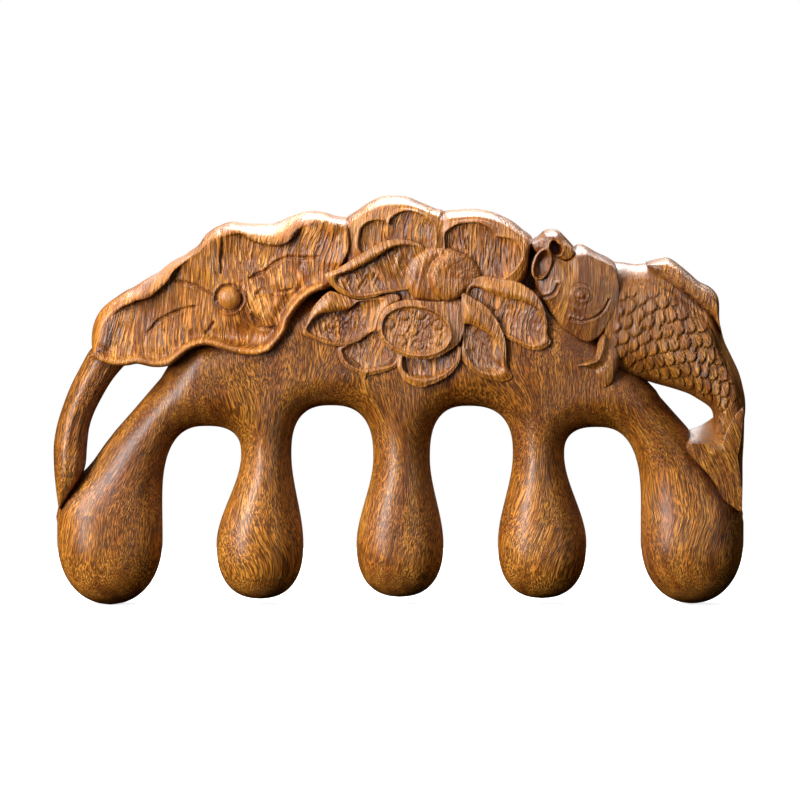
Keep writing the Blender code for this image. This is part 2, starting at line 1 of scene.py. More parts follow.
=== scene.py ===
"""The carved wooden massage comb: five drop-shaped teeth under a lotus leaf, a lotus flower with
its seed pod, and a carp, all cut from one block of hardwood. Both faces carry the same carving.

Shapes are worked out in millimetres and put into metres when their mesh is made. X runs along
the comb, Z is up, the teeth point down, and the front face looks to -Y.
"""

import bpy
import numpy as np
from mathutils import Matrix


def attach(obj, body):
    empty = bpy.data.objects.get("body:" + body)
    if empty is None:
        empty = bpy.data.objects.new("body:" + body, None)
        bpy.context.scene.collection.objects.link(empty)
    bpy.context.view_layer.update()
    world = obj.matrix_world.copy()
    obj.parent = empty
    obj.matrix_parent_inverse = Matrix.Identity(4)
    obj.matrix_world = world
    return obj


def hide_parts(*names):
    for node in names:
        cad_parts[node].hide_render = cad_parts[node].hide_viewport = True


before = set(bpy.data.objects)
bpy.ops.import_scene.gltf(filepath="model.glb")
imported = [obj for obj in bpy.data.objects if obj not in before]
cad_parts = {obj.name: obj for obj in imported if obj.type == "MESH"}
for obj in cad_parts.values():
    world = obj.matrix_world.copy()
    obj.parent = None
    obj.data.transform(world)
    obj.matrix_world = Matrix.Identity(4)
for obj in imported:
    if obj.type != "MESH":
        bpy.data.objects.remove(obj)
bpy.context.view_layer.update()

# The comb body: the arched plate and its five teeth, sawn from one board of golden brown
# hardwood about 16 mm thick, rasped round, sanded smooth and rubbed with oil. The carving
# stands on its upper part. Teeth and gaps are given from the left.
TOOTH_CENTRE = np.array([-54.7, -26.4, 0.0, 26.8, 55.1])
TOOTH_LEAN = np.array([0.0, 1.2, 0.3, -0.7, 0.0])
TOOTH_TIP = np.array([0.0, 1.1, 1.45, 1.2, 0.2])
TOOTH_WIDEST = np.array([12.6, 11.4, 11.4, 11.6, 12.4])
TOOTH_TOP = np.array([19.2, 28.4, 27.7, 28.4, 18.8])
BULB_HALF_WIDTH = np.array([9.95, 8.2, 8.2, 8.35, 9.7])
NECK_HALF_WIDTH = np.array([9.9, 4.75, 5.35, 4.85, 9.7])
TIP_FULLNESS = np.array([2.15, 2.4, 2.4, 2.4, 2.15])
BULB_HALF_DEPTH = 8.0
GAP_MIDDLE = np.array([-36.4, -13.0, 12.8, 37.1])
GAP_TOP = np.array([33.7, 37.6, 37.5, 33.5])
GAP_FULLNESS = 2.6
EDGE_ROUNDING = 6.6
PLATE_HALF_DEPTH = 7.1
SUNK_UNDER_CARVING = 0.35
SUNK_FAR_UNDER = 4.2
NECK_PINCH = 0.75
ARM_LEAN = 0.45
BODY_LEFT = [
    (-64.6, 17.5), (-64.1, 19.8), (-62.9, 21.7), (-61.2, 23.6), (-60.1, 24.7), (-58.8, 26.0),
    (-57.7, 27.3), (-55.6, 30.3), (-53.5, 33.0), (-50.5, 36.4), (-47.5, 39.9), (-45.0, 42.8),
    (-43.7, 45.0), (-42.2, 47.7), (-39.0, 50.9),
]
BODY_TOP = [
    (-28.3, 52.8), (-20.7, 57.5), (-11.3, 62.2), (0.0, 64.6), (13.2, 64.0), (22.5, 66.5),
    (25.6, 67.9), (28.5, 66.0), (30.5, 58.0), (35.8, 53.0), (42.4, 46.5),
]
BODY_RIGHT = [
    (45.2, 43.9), (46.2, 42.6), (48.2, 40.5), (49.0, 39.2), (50.7, 37.3), (52.4, 35.4),
    (54.1, 33.5), (55.4, 31.5), (57.1, 29.2), (59.2, 26.2), (61.0, 23.6), (62.9, 21.3),
    (64.2, 19.4), (64.6, 17.1),
]
CARVING_FOOT = [
    (-57.7, 47.4), (-53.3, 45.2), (-49.2, 45.5), (-43.7, 45.0), (-39.6, 48.0), (-34.9, 48.7),
    (-28.3, 47.0), (-23.2, 48.7), (-20.6, 53.6), (-15.6, 58.6), (-17.6, 55.0), (-18.6, 51.9),
    (-14.1, 49.5), (-11.5, 47.0), (-7.0, 43.3), (-2.6, 44.4), (-0.8, 46.0), (0.9, 42.7),
    (4.5, 41.4), (9.2, 43.5), (11.3, 46.4), (13.4, 44.4), (17.7, 42.5), (20.0, 45.5),
    (19.8, 49.5), (24.5, 48.5), (28.4, 49.7), (28.6, 52.0), (26.0, 57.6), (30.0, 53.6),
    (35.4, 49.7), (37.3, 42.1), (40.5, 43.5), (44.0, 43.3),
]
LATTICE_PITCH = 0.46
LATTICE_SPAN = [(-65.6, 65.7), (-8.6, 8.7), (-0.6, 69.6)]


def offset_from(line, x, z):
    """The distance from each point to the nearest straight run of a line through points."""
    line = np.asarray(line, float)
    start = line[:-1]
    run = line[1:] - start
    dx = x[..., None] - start[:, 0]
    dz = z[..., None] - start[:, 1]
    along = (dx * run[:, 0] + dz * run[:, 1]) / (run ** 2).sum(1)
    along = np.clip(along, 0, 1)
    return np.hypot(dx - along * run[:, 0], dz - along * run[:, 1]).min(-1)


def within(outline, x, z):
    """Whether each point is inside a closed outline, from the edges that a ray upwards crosses."""
    outline = np.asarray(outline, float)
    ahead = np.roll(outline, -1, 0)
    spans = (outline[:, 0] > x[..., None]) != (ahead[:, 0] > x[..., None])
    run = ahead - outline
    slope = run[:, 1] / np.where(run[:, 0] == 0, 1e-9, run[:, 0])
    height = outline[:, 1] + (x[..., None] - outline[:, 0]) * slope
    return (spans & (z[..., None] < height)).sum(-1) % 2 == 1


def eased(value, low, high):
    """0 below low, 1 above high, and an s-shaped rise between."""
    share = np.clip((value - low) / (high - low), 0, 1)
    return share * share * (3 - 2 * share)


def near(distance, reach):
    """1 at no distance, falling away on both sides as a bell curve of a given reach."""
    return np.exp(-(distance / reach) ** 2)


def tooth_sides(number, z):
    """The middle and half width of a tooth at each height: a superellipse below the widest
    height, and an s-shaped narrowing from there up to the neck."""
    tip, widest = TOOTH_TIP[number], TOOTH_WIDEST[number]
    fullness = TIP_FULLNESS[number]
    sunk = np.clip((widest - z) / (widest - tip), 0, 1)
    ease = eased(z, widest, TOOTH_TOP[number])
    half = BULB_HALF_WIDTH[number] * (1 - sunk ** fullness) ** (1 / fullness)
    half = half + ease * (NECK_HALF_WIDTH[number] - BULB_HALF_WIDTH[number])
    return TOOTH_CENTRE[number] + TOOTH_LEAN[number] * ease, half - np.maximum(tip - z, 0)


def clear_of_gap(number, x, z):
    """How far each point is from a gap between teeth, along a ray from the gap's middle. Below
    its foot the gap ends at the tooth's side, and above it at a quarter superellipse."""
    middle, top = GAP_MIDDLE[number], GAP_TOP[number]
    clear = []
    for tooth, side in ((number, 1), (number + 1, -1)):
        foot = TOOTH_TOP[tooth]
        centre, half = tooth_sides(tooth, np.minimum(z, foot))
        width = np.abs(centre + side * half - middle)
        across = np.abs(x - middle)
        up = np.maximum(z - foot, 0)
        level = ((across / width) ** GAP_FULLNESS + (up / (top - foot)) ** GAP_FULLNESS)
        level = np.maximum(level, 1e-6) ** (1 / GAP_FULLNESS)
        clear.append(np.hypot(across, up) * (1 - 1 / level))
    return np.where(x < middle, clear[0], clear[1])


def body_thickness(x, z):
    """The square of the body's half thickness at each point, below zero outside its outline.
    Each edge rounds the body over as a quarter circle, and the roundings multiply."""
    upper = np.array(BODY_LEFT + BODY_TOP + BODY_RIGHT)
    closed = np.concatenate([upper, [(64.6, -30.0), (-64.6, -30.0)]])
    outer = offset_from(upper, x, z) * np.where(within(closed, x, z), 1, -1)
    left_middle, left_half = tooth_sides(0, z)
    right_middle, right_half = tooth_sides(4, z)
    beside = np.minimum(x - left_middle + left_half, right_middle + right_half - x)
    outer = beside + eased(z, 15.5, 18.5) * (outer - beside)
    nearest = np.clip(np.searchsorted(GAP_MIDDLE, x), 0, 4)
    tip, widest = TOOTH_TIP[nearest], TOOTH_WIDEST[nearest]
    sunk = np.clip((widest - z) / (widest - tip), 0, 1)
    fullness = TIP_FULLNESS[nearest]
    share = (1 - sunk ** fullness) ** (1 / fullness)
    halves = np.stack([tooth_sides(number, z)[1] for number in range(5)])
    half = np.take_along_axis(halves, nearest[None], 0)[0]
    rounding = half + eased(z, 17.0, 33.0) * (EDGE_ROUNDING - half)
    rounding = np.maximum(rounding, 0.5)
    edges = np.stack([outer] + [clear_of_gap(number, x, z) for number in range(4)]) / rounding
    faces = np.where(edges < 1, 1 - (1 - np.maximum(edges, 0)) ** 2, 1)
    outside = edges.min(0)
    share_of_depth = np.where(outside < 0, 2 * outside, faces.prod(0))
    depth = np.maximum(BULB_HALF_DEPTH * share, 1.2)
    depth = depth + eased(z, widest, 30.0) * (PLATE_HALF_DEPTH - BULB_HALF_DEPTH)
    foot = offset_from(CARVING_FOOT, x, z)
    under = within(CARVING_FOOT + [(44.0, 90.0), (-57.7, 90.0)], x, z)
    depth = depth - SUNK_UNDER_CARVING * np.maximum(near(foot, 3.2), under)
    inwards = foot - 0.9 * eased(x, -22, -18)
    depth = depth - SUNK_FAR_UNDER * under * eased(inwards, 0.5, 1.8)
    return depth ** 2 * share_of_depth


def skin(field):
    """The closed surface where a field on a 3-D lattice is zero: a point in each cell that it
    crosses, at the mean of the crossings on the cell's edges, and a face round each crossed
    edge. Points are in steps of the lattice."""
    cells = tuple(size - 1 for size in field.shape)
    total = np.zeros(cells + (3,))
    count = np.zeros(cells)
    crossings = []
    for axis in range(3):
        others = [other for other in range(3) if other != axis]
        lattice = np.moveaxis(field, axis, 0)
        low, high = lattice[:-1], lattice[1:]
        crosses = (low > 0) != (high > 0)
        place = np.where(crosses, low / np.where(crosses, low - high, 1), 0)
        sums = np.moveaxis(total, axis, 0)
        counts = np.moveaxis(count, axis, 0)
        rows, columns = counts.shape[1:]
        for p, q in ((0, 0), (1, 0), (0, 1), (1, 1)):
            part = crosses[:, p:p + rows, q:q + columns]
            counts += part
            sums[..., axis] += place[:, p:p + rows, q:q + columns]
            sums[..., others[0]] += part * p
            sums[..., others[1]] += part * q
        i, j, k = np.nonzero(crosses[:, 1:-1, 1:-1])
        turned = (low[i, j + 1, k + 1] > 0) == (axis == 1)
        crossings.append((axis, i, j, k, turned))
    used = count > 0
    index = np.full(cells, -1)
    index[used] = np.arange(used.sum())
    quads = []
    for axis, i, j, k, turned in crossings:
        index_along = np.moveaxis(index, axis, 0)
        ring = np.stack([index_along[i, j, k], index_along[i, j + 1, k],
                         index_along[i, j + 1, k + 1], index_along[i, j, k + 1]], 1)
        ring[turned] = ring[turned][:, ::-1]
        quads.append(ring)
    points = np.argwhere(used) + total[used] / count[used][:, None]
    return points, np.concatenate(quads)


def onto_body(points):
    """Moves points onto the surface y * y = body_thickness(x, z), by Newton steps along the
    surface's slope."""
    step = 0.02
    for _ in range(3):
        x, y, z = points.T
        value = body_thickness(x, z) - y ** 2
        slope = np.stack([
            (body_thickness(x + step, z) - body_thickness(x - step, z)) / (2 * step),
            -2 * y,
            (body_thickness(x, z + step) - body_thickness(x, z - step)) / (2 * step)], 1)
        length = np.maximum((slope ** 2).sum(1), 4.0)
        move = -value / length
        move = move[:, None] * slope
        far = np.maximum(np.linalg.norm(move, axis=1) / 0.3, 1)
        points = points + move / far[:, None]
    return points


def along_grain(points):
    """Where each point lies in the wood, in millimetres, with the grain straightened: its lines
    draw together at the three inner necks and lean outwards to the end teeth."""
    x, y, z = points.T
    straight = x.copy()
    for number in (1, 2, 3):
        aside = x - TOOTH_CENTRE[number] - TOOTH_LEAN[number]
        straight += NECK_PINCH * aside * np.exp(-(aside / 8.5) ** 2 - ((z - 31) / 11) ** 2)
    rise = np.clip(z - 17, 0, 30)
    for number, way in ((0, 1), (4, -1)):
        share = 1 - eased(way * (x - TOOTH_CENTRE[number]), 4, 26)
        straight -= way * ARM_LEAN * rise * share
    return np.stack([straight, y, z], 1)


def add_wood(name, points, faces, nodes, finish, gouged=1.0):
    """A mesh piece from points in millimetres, riding with the comb in place of CAD nodes.
    Gouged is how strongly the tool marks show, for the piece or for each point."""
    mesh = bpy.data.meshes.new(name)
    mesh.from_pydata((points * 0.001).tolist(), [], faces)
    grain = mesh.attributes.new("grain", "FLOAT_VECTOR", "POINT")
    grain.data.foreach_set("vector", along_grain(np.asarray(points, float)).ravel())
    marks = mesh.attributes.new("gouged", "FLOAT", "POINT")
    marks.data.foreach_set("value", np.broadcast_to(gouged, len(points)).astype(np.float32))
    mesh.validate()
    mesh.materials.append(finish)
    mesh.shade_smooth()
    piece = bpy.data.objects.new(name, mesh)
    bpy.context.scene.collection.objects.link(piece)
    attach(piece, "root")
    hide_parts(*nodes)
    return piece


def shade(tree, kind, inputs, output=0, **settings):
    """One output of a new shader node. Inputs go by name or place, and each is a number, a
    colour or another node's output. Settings are the node's own, such as its operation."""
    node = tree.nodes.new("ShaderNode" + kind)
    for name, value in settings.items():
        setattr(node, name, value)
    for name, value in inputs.items():
        if isinstance(value, bpy.types.NodeSocket):
            tree.links.new(value, node.inputs[name])
        else:
            node.inputs[name].default_value = value
    return node.outputs[output]


# How often each pattern in the wood comes in a millimetre: across, through and along the grain
BANDS_PER_MM = (0.30, 0.30, 0.022)
WARMTH_PER_MM = (0.55, 0.55, 0.035)
FIBRES_PER_MM = (4.1, 4.1, 0.25)
CUT_FIBRES_PER_MM = (4.1, 0.9, 0.25)
BLOTCHES_PER_MM = (0.11, 0.11, 0.07)
PORES_PER_MM = (6.2, 6.2, 0.80)
CROWDS_PER_MM = (0.35, 0.35, 0.18)
VALLEYS_PER_MM = (2.5, 0.35, 0.25)
GRAIN_DRIFT = 13.0
STROKE_SIZE = (0.85, 60.0, 7.0)
STROKE_TILT = 1.4
# The colour, or the tint that multiplies it, at each height of a pattern from 0 to 1
BAND_COLOURS = [
    (0.30, (0.275, 0.082, 0.0090)), (0.44, (0.435, 0.149, 0.0165)),
    (0.58, (0.580, 0.231, 0.0320)), (0.72, (0.445, 0.153, 0.0180)),
]
WARM_TINT = [(0.36, (1.08, 0.84, 0.60)), (0.60, (0.98, 1.08, 1.15))]
FIBRE_TINT = [(0.38, (0.30, 0.22, 0.12)), (0.50, (1.02, 1.0, 0.94)), (0.62, (1.72, 1.80, 1.84))]
BLOTCH_TINT = [(0.32, (0.80, 0.74, 0.66)), (0.6, (1.06, 1.05, 1.04))]
VALLEY_DIRT_SHADE_AND_RIDGE_HIGHLIGHT = [(0.0, (0.48, 0.37, 0.24)), (0.40, (1.00, 0.99, 0.97)), (1.0, (1.14, 1.17, 1.22))]
PLATE_PAINTED_SHADE_TINT = [(0.0, (1.0, 1.0, 1.0)), (1.0, (0.74, 0.70, 0.62))]
PAINTED_SHADE_TINT = [(0.20, (0.46, 0.34, 0.22)), (0.85, (1.0, 1.0, 1.0))]
PORE_COLOUR = (0.095, 0.029, 0.0048, 1.0)
GROUND_DEPTH, FACE_DEPTH = 5.4, 6.2
DULLEST, SHINIEST = 0.41, 0.27
OIL_COAT, OIL_ROUGHNESS, OIL_IOR = 0.6, 0.34, 1.5
PAINTED_SHADE_REACH = 0.0022
RELIEF_HEIGHT = 0.0002


def oiled_wood(name, tone=1.0, cuts=0.0, cut_angle=0.0):
    """Golden brown hardwood under oil. Its colour is broad bands, times warmer and cooler
    stretches, fine fibres and blotches, with dark pores along the grain, and painted shade
    that darkens it in creases, hollows and under overhangs.
    Cuts, from 0 to 1, adds a gouge's strokes at an angle from upright where the mesh is gouged:
    each cell of a long Voronoi pattern tilts by chance, and noise cuts valleys in it. Their
    colour is darker, partly oil and dust and partly painted shade, with a painted highlight,
    lighter and whiter, on the ridges between.
    Without cuts, the plate is painted darker than the teeth, as painted shade below the carving."""
    finish = bpy.data.materials.new(name)
    finish.use_nodes = True
    tree = finish.node_tree
    place = shade(tree, "TexCoord", {}, "Object")
    in_mm = shade(tree, "Mapping", {"Vector": place, "Scale": (1000, 1000, 1000)})
    grain = shade(tree, "Attribute", {}, "Vector", attribute_name="grain")
    drift = shade(tree, "TexNoise", {"Vector": in_mm, "Scale": 0.05, "Detail": 0.6}, "Color")
    drift = shade(tree, "VectorMath", {0: drift, 1: (0.5, 0.5, 0.5)}, operation="SUBTRACT")
    drift = shade(tree, "VectorMath", {0: drift, "Scale": GRAIN_DRIFT}, operation="SCALE")
    wood = shade(tree, "VectorMath", {0: grain, 1: drift}, operation="ADD")

    def streaks(often, detail, rough=0.5, source=wood):
        """Noise drawn out along the grain."""
        stretched = shade(tree, "Mapping", {"Vector": source, "Scale": often})
        return shade(tree, "TexNoise", {"Vector": stretched, "Scale": 1.0, "Detail": detail,
                                        "Roughness": rough}, "Fac")

    def ranged(value, low, high, new_low=0.0, new_high=1.0, rise="LINEAR"):
        """A value carried from one range to another, and held within it."""
        return shade(tree, "MapRange", {"Value": value, "From Min": low, "From Max": high,
                                        "To Min": new_low, "To Max": new_high},
                     interpolation_type=rise)

    def reckon(operation, first, second=0.0):
        """The sum, product or the like of two values."""
        return shade(tree, "Math", {0: first, 1: second}, operation=operation)

    def ramp(pattern, stops):
        """The colour that a pattern's height picks from (height, colour) stops."""
        node = tree.nodes.new("ShaderNodeValToRGB")
        elements = node.color_ramp.elements
        while len(elements) < len(stops):
            elements.new(0.5)
        for element, (height, colour) in zip(elements, stops):
            element.position = height
            element.color = (*colour, 1.0)
        tree.links.new(pattern, node.inputs[0])
        return node.outputs[0]

    def mix(share, first, second, blend="MULTIPLY"):
        """One colour multiplied by another, or blended in another way, as far as share says."""
        return shade(tree, "Mix", {0: share, 6: first, 7: second}, 2, data_type="RGBA",
                     blend_type=blend)

    fibre = streaks(CUT_FIBRES_PER_MM if cuts > 0.5 else FIBRES_PER_MM, 1.8, 0.55)
    colour = ramp(streaks(BANDS_PER_MM, 3.0), [(height, [tone * part for part in band])
                                               for height, band in BAND_COLOURS])
    colour = mix(0.3, colour, ramp(streaks(WARMTH_PER_MM, 2.0), WARM_TINT))
    colour = mix(0.85 - 0.4 * cuts, colour, ramp(fibre, FIBRE_TINT))
    colour = mix(0.8, colour, ramp(streaks(BLOTCHES_PER_MM, 2.0, source=in_mm), BLOTCH_TINT))
    crowd = ranged(streaks(CROWDS_PER_MM, 2.0), 0.35, 0.65, -0.05, 0.05)
    pore = reckon("ADD", streaks(PORES_PER_MM, 0.5, 0.4), crowd)
    pore = ranged(pore, 0.53, 0.61, 0.0, 0.80 - 0.5 * cuts)
    colour = mix(pore, colour, PORE_COLOUR, "MIX")
    relief = reckon("ADD", reckon("MULTIPLY", pore, -0.25), reckon("MULTIPLY", fibre, 1.2))
    if cuts:
        stroke = shade(tree, "Mapping", {"Vector": wood, "Scale": STROKE_SIZE,
                                         "Rotation": (0, cut_angle, 0)}, vector_type="TEXTURE")
        middle = shade(tree, "TexVoronoi", {"Vector": stroke, "Scale": 1.0}, "Position")
        chance = middle.node.outputs["Color"]
        aside = shade(tree, "VectorMath", {0: stroke, 1: middle}, operation="SUBTRACT")
        tilt = ranged(shade(tree, "SeparateXYZ", {0: chance}), 0.0, 1.0, 0.35, 1.65)
        facet = reckon("MULTIPLY", shade(tree, "SeparateXYZ", {0: aside}), tilt)
        valley = ranged(streaks(VALLEYS_PER_MM, 1.6), 0.41, 0.58, rise="SMOOTHSTEP")
        level = reckon("ADD", reckon("MULTIPLY", facet, STROKE_TILT), valley)
        depth = reckon("ABSOLUTE", shade(tree, "SeparateXYZ", {0: in_mm}, "Y"))
        gouged = shade(tree, "Attribute", {}, "Fac", attribute_name="gouged")
        seen = reckon("MULTIPLY", ranged(depth, GROUND_DEPTH, FACE_DEPTH), gouged)
        # The valleys' colour is darker, partly oil and dust and partly painted shade, and the
        # ridges are lighter and whiter as a painted highlight.
        colour = mix(seen, colour, ramp(valley, VALLEY_DIRT_SHADE_AND_RIDGE_HIGHLIGHT))
        deep = reckon("MULTIPLY", reckon("MULTIPLY", level, seen), 2.5 * cuts)
        relief = reckon("ADD", relief, deep)
    else:
        # Painted shade: the plate's colour is darkened from 24 mm up to 38 mm, below the carving.
        height = shade(tree, "SeparateXYZ", {0: in_mm}, "Z")
        colour = mix(1.0, colour, ramp(ranged(height, 24.0, 38.0), PLATE_PAINTED_SHADE_TINT))
    # Painted shade: the colour is darkened where ambient occlusion finds wood close about, in
    # creases, hollows and under overhangs.
    hollow = shade(tree, "AmbientOcclusion", {"Distance": PAINTED_SHADE_REACH}, "AO", samples=4)
    bump = shade(tree, "Bump", {"Height": relief, "Strength": 1.0, "Distance": RELIEF_HEIGHT})
    surface = tree.nodes["Principled BSDF"].inputs
    tree.links.new(mix(1.0, colour, ramp(hollow, PAINTED_SHADE_TINT)), surface["Base Color"])
    tree.links.new(ranged(fibre, 0.3, 0.7, DULLEST, SHINIEST), surface["Roughness"])
    tree.links.new(bump, surface["Normal"])
    surface["Specular IOR Level"].default_value = 0.3 + 0.3 * cuts
    surface["IOR"].default_value = OIL_IOR
    surface["Coat Weight"].default_value = OIL_COAT
    surface["Coat Roughness"].default_value = OIL_ROUGHNESS
    return finish


smooth_wood = oiled_wood("sanded_wood", tone=1.04)
lattice_x, lattice_y, lattice_z = (np.arange(low, high, LATTICE_PITCH)
                                   for low, high in LATTICE_SPAN)
thickness = body_thickness(*np.meshgrid(lattice_x, lattice_z, indexing="ij"))
points, faces = skin(thickness[:, None, :] - lattice_y[None, :, None] ** 2)
points = onto_body(points * LATTICE_PITCH + (lattice_x[0], lattice_y[0], lattice_z[0]))
add_wood("comb_body", points, faces.tolist(),
         ["comb_spine", "tooth_1", "tooth_2", "tooth_3", "tooth_4", "tooth_5"], smooth_wood)

# The lotus leaf: a dished blade of the same wood, cut with gouges through the full thickness of
# the board. Its upper edge rolls back as a crown, its lower edge is a rolled lip, and a round
# boss stands where the stalk meets the veins.
LEAF_EDGE = [
    (-57.8, 47.5), (-58.0, 49.2), (-58.0, 50.9), (-57.7, 52.8), (-57.1, 54.3), (-56.3, 55.6),
    (-55.2, 56.7), (-53.7, 57.8), (-51.6, 59.2), (-50.1, 59.9), (-48.6, 60.9), (-47.1, 61.8),
    (-45.4, 62.7), (-43.7, 64.1), (-42.0, 65.2), (-40.5, 65.9), (-39.4, 66.7), (-37.9, 67.8),
    (-37.1, 69.0), (-36.4, 69.9), (-35.2, 70.8), (-34.1, 71.4), (-31.8, 72.2), (-30.0, 72.0),
    (-27.9, 71.8), (-26.0, 71.8), (-24.1, 71.8), (-22.2, 72.5), (-20.2, 73.3), (-18.1, 74.0),
    (-16.2, 74.2), (-14.1, 73.9), (-12.2, 73.3), (-10.9, 73.1), (-9.8, 72.7), (-9.4, 70.3),
    (-9.2, 68.0), (-9.8, 65.8), (-11.1, 63.7),
]
LEAF_RIM = [
    (-57.1, 48.2), (-56.3, 49.3), (-55.8, 50.4), (-55.6, 52.1), (-55.2, 53.6), (-54.4, 54.8),
    (-53.1, 55.9), (-51.8, 56.8), (-50.5, 57.4), (-49.0, 58.0), (-47.5, 58.3), (-46.0, 59.3),
    (-44.5, 60.6), (-43.3, 61.9), (-42.6, 63.2), (-40.9, 64.7), (-39.4, 65.7), (-37.9, 66.8),
    (-36.9, 67.6), (-35.8, 68.5), (-34.7, 69.3), (-33.3, 69.8), (-31.3, 70.4), (-29.6, 70.4),
    (-27.7, 69.3), (-25.8, 68.7), (-23.9, 68.3), (-21.9, 68.5), (-20.3, 69.6), (-18.7, 71.5),
    (-16.6, 72.3), (-14.5, 72.5), (-12.6, 72.1), (-11.3, 71.7), (-10.2, 71.2), (-9.8, 69.6),
    (-9.6, 68.1), (-10.2, 66.3), (-11.3, 64.4),
]
LEAF_LIP = [
    (-57.7, 47.8), (-55.8, 46.8), (-53.3, 46.1), (-51.2, 46.2), (-49.2, 46.5), (-46.2, 45.9),
    (-43.7, 46.1), (-42.0, 47.2), (-39.9, 48.9), (-37.3, 49.9), (-34.9, 49.7), (-31.8, 48.7),
    (-28.3, 48.0), (-25.4, 48.4), (-23.6, 49.9), (-22.0, 52.1), (-21.3, 54.2), (-20.2, 56.1),
    (-18.1, 58.5), (-15.8, 60.0), (-13.4, 60.6), (-11.9, 61.7),
]
LEAF_VEINS = [
    [(-33.2, 69.8), (-33.3, 67.4), (-33.5, 65.1), (-33.5, 62.9)],
    [(-35.2, 58.9), (-36.9, 59.8), (-39.0, 60.8), (-40.5, 61.2), (-42.0, 61.4)],
    [(-38.4, 56.6), (-40.3, 56.3), (-42.0, 55.7), (-43.7, 54.9), (-45.4, 54.0), (-47.3, 51.6)],
    [(-34.9, 53.6), (-35.6, 52.5), (-36.4, 51.6)],
    [(-28.1, 61.9), (-26.8, 62.7), (-25.4, 63.2), (-24.1, 64.4), (-22.8, 65.3), (-20.9, 65.9),
     (-18.1, 65.7), (-15.3, 65.9)],
    [(-26.9, 59.1), (-25.6, 59.7), (-24.1, 59.7), (-22.6, 59.5), (-21.5, 59.5), (-20.3, 60.0)],
    [(-27.7, 55.1), (-26.9, 53.8), (-26.4, 52.7), (-24.9, 52.5), (-23.4, 52.7)],
]
LEAF_HUB = (-32.0, 58.2)
LEAF_HALF_DEPTH = 8.0
LEAF_FLOOR = 6.7
LEAF_LIP_HALF_WIDTH = 0.9
LEAF_LIP_RISE = 0.45
LEAF_RINGS, LEAF_CROWN_RINGS = 82, 7
CROWN_FULLNESS = 2.3
VEIN_DEPTH, VEIN_HALF_WIDTH = 0.4, 0.24
OVERHANG_STEP, OVERHANG_REACH = 1.2, 2.4
HUB_RADIUS = 2.25
PLAIN_SHARE = 0.2
LOWER_HOLLOW = 1.05
OVERHANGS = [
    [(-50.5, 57.2), (-47.1, 58.2), (-44.3, 60.4), (-42.8, 62.9)],
    [(-28.8, 69.5), (-26.0, 68.3), (-22.6, 67.9), (-20.3, 69.3)],
]
# Broad hollows, and swellings where the height is positive: place, reach and height
LEAF_WAVES = [
    ((-26.0, 66.0), (5.0, 3.0), -0.7), ((-47.0, 57.2), (4.5, 2.2), -0.5),
    ((-31.0, 51.8), (6.0, 2.0), -0.6), ((-37.0, 64.5), (3.2, 4.0), 0.7),
    ((-16.5, 67.0), (3.5, 4.5), 0.3), ((-53.0, 50.0), (2.4, 3.0), -0.5),
    ((-46.0, 49.5), (5.0, 2.5), 0.4), ((-22.0, 61.5), (2.6, 2.6), 0.4),
    ((-27.6, 50.7), (4.2, 2.6), -1.3),
]


def curve_through(points, count, closed=False):
    """Points spaced evenly along a cubic that passes through each given point with the slope of
    its neighbours. Each column, a place or a height, is eased in the same way."""
    points = np.asarray(points, float)
    if closed:
        before, start = np.roll(points, 1, 0), points
        end, after = np.roll(points, -1, 0), np.roll(points, -2, 0)
    else:
        longer = np.concatenate([2 * points[:1] - points[1:2], points,
                                 2 * points[-1:] - points[-2:-1]])
        before, start, end, after = longer[:-3], longer[1:-2], longer[2:-1], longer[3:]
    t = np.linspace(0, 1, 12, endpoint=False)[None, :, None]
    before, start, end, after = (part[:, None] for part in (before, start, end, after))
    dense = 0.5 * (2 * start + (end - before) * t
                   + (2 * before - 5 * start + 4 * end - after) * t ** 2
                   + (3 * start - before - 3 * end + after) * t ** 3)
    dense = np.concatenate([dense.reshape(-1, points.shape[1]),
                            points[:1] if closed else points[-1:]])
    steps = np.linalg.norm(np.diff(dense[:, :2], axis=0), axis=1)
    length = np.concatenate([[0], np.cumsum(steps)])
    even = np.linspace(0, length[-1], count, endpoint=not closed)
    return np.stack([np.interp(even, length, column) for column in dense.T], 1)


def beside(line, distance):
    """A line moved sideways, to the right of its direction."""
    run = np.gradient(line, axis=0)
    run /= np.linalg.norm(run, axis=1, keepdims=True)
    return line + distance * np.stack([run[:, 1], -run[:, 0]], 1)


def lattice_noise(across, along, seed):
    """Smooth noise from 0 to 1: random heights on a square lattice, eased between its corners."""
    heights = np.random.default_rng(seed).random((64, 64))
    column, row = np.floor(across).astype(int), np.floor(along).astype(int)
    u, v = across - column, along - row
    u, v = u * u * (3 - 2 * u), v * v * (3 - 2 * v)
    corner = [heights[(column + a) % 64, (row + b) % 64]
              for a, b in ((0, 0), (1, 0), (0, 1), (1, 1))]
    low = corner[0] + u * (corner[1] - corner[0])
    high = corner[2] + u * (corner[3] - corner[2])
    return low + v * (high - low)


def gouge_marks(x, z, lean, width, length, seed):
    """Long shallow cuts, as deep as -1 and sharp between: noise drawn out along a line that
    leans from upright, folded so that each slope meets the next in a crest."""
    across = x * np.cos(lean) - z * np.sin(lean)
    along = x * np.sin(lean) + z * np.cos(lean)
    sway = 0.8 * lattice_noise(across / 4 + 9, along / 5, seed + 1)
    broad = lattice_noise(across / width + sway, along / length, seed)
    small = lattice_noise(2.1 * across / width, 1.7 * along / length, seed + 2)
    return np.abs(2 * (0.65 * broad + 0.35 * small) - 1) ** 0.8 - 1


def waves(x, z, places):
    """A sum of smooth swells, each at a place with its reach along x and z, and its height."""
    total = np.zeros_like(x)
    for (cx, cz), (rx, rz), height in places:
        total += height * np.exp(-((x - cx) / rx) ** 2 - ((z - cz) / rz) ** 2)
    return total


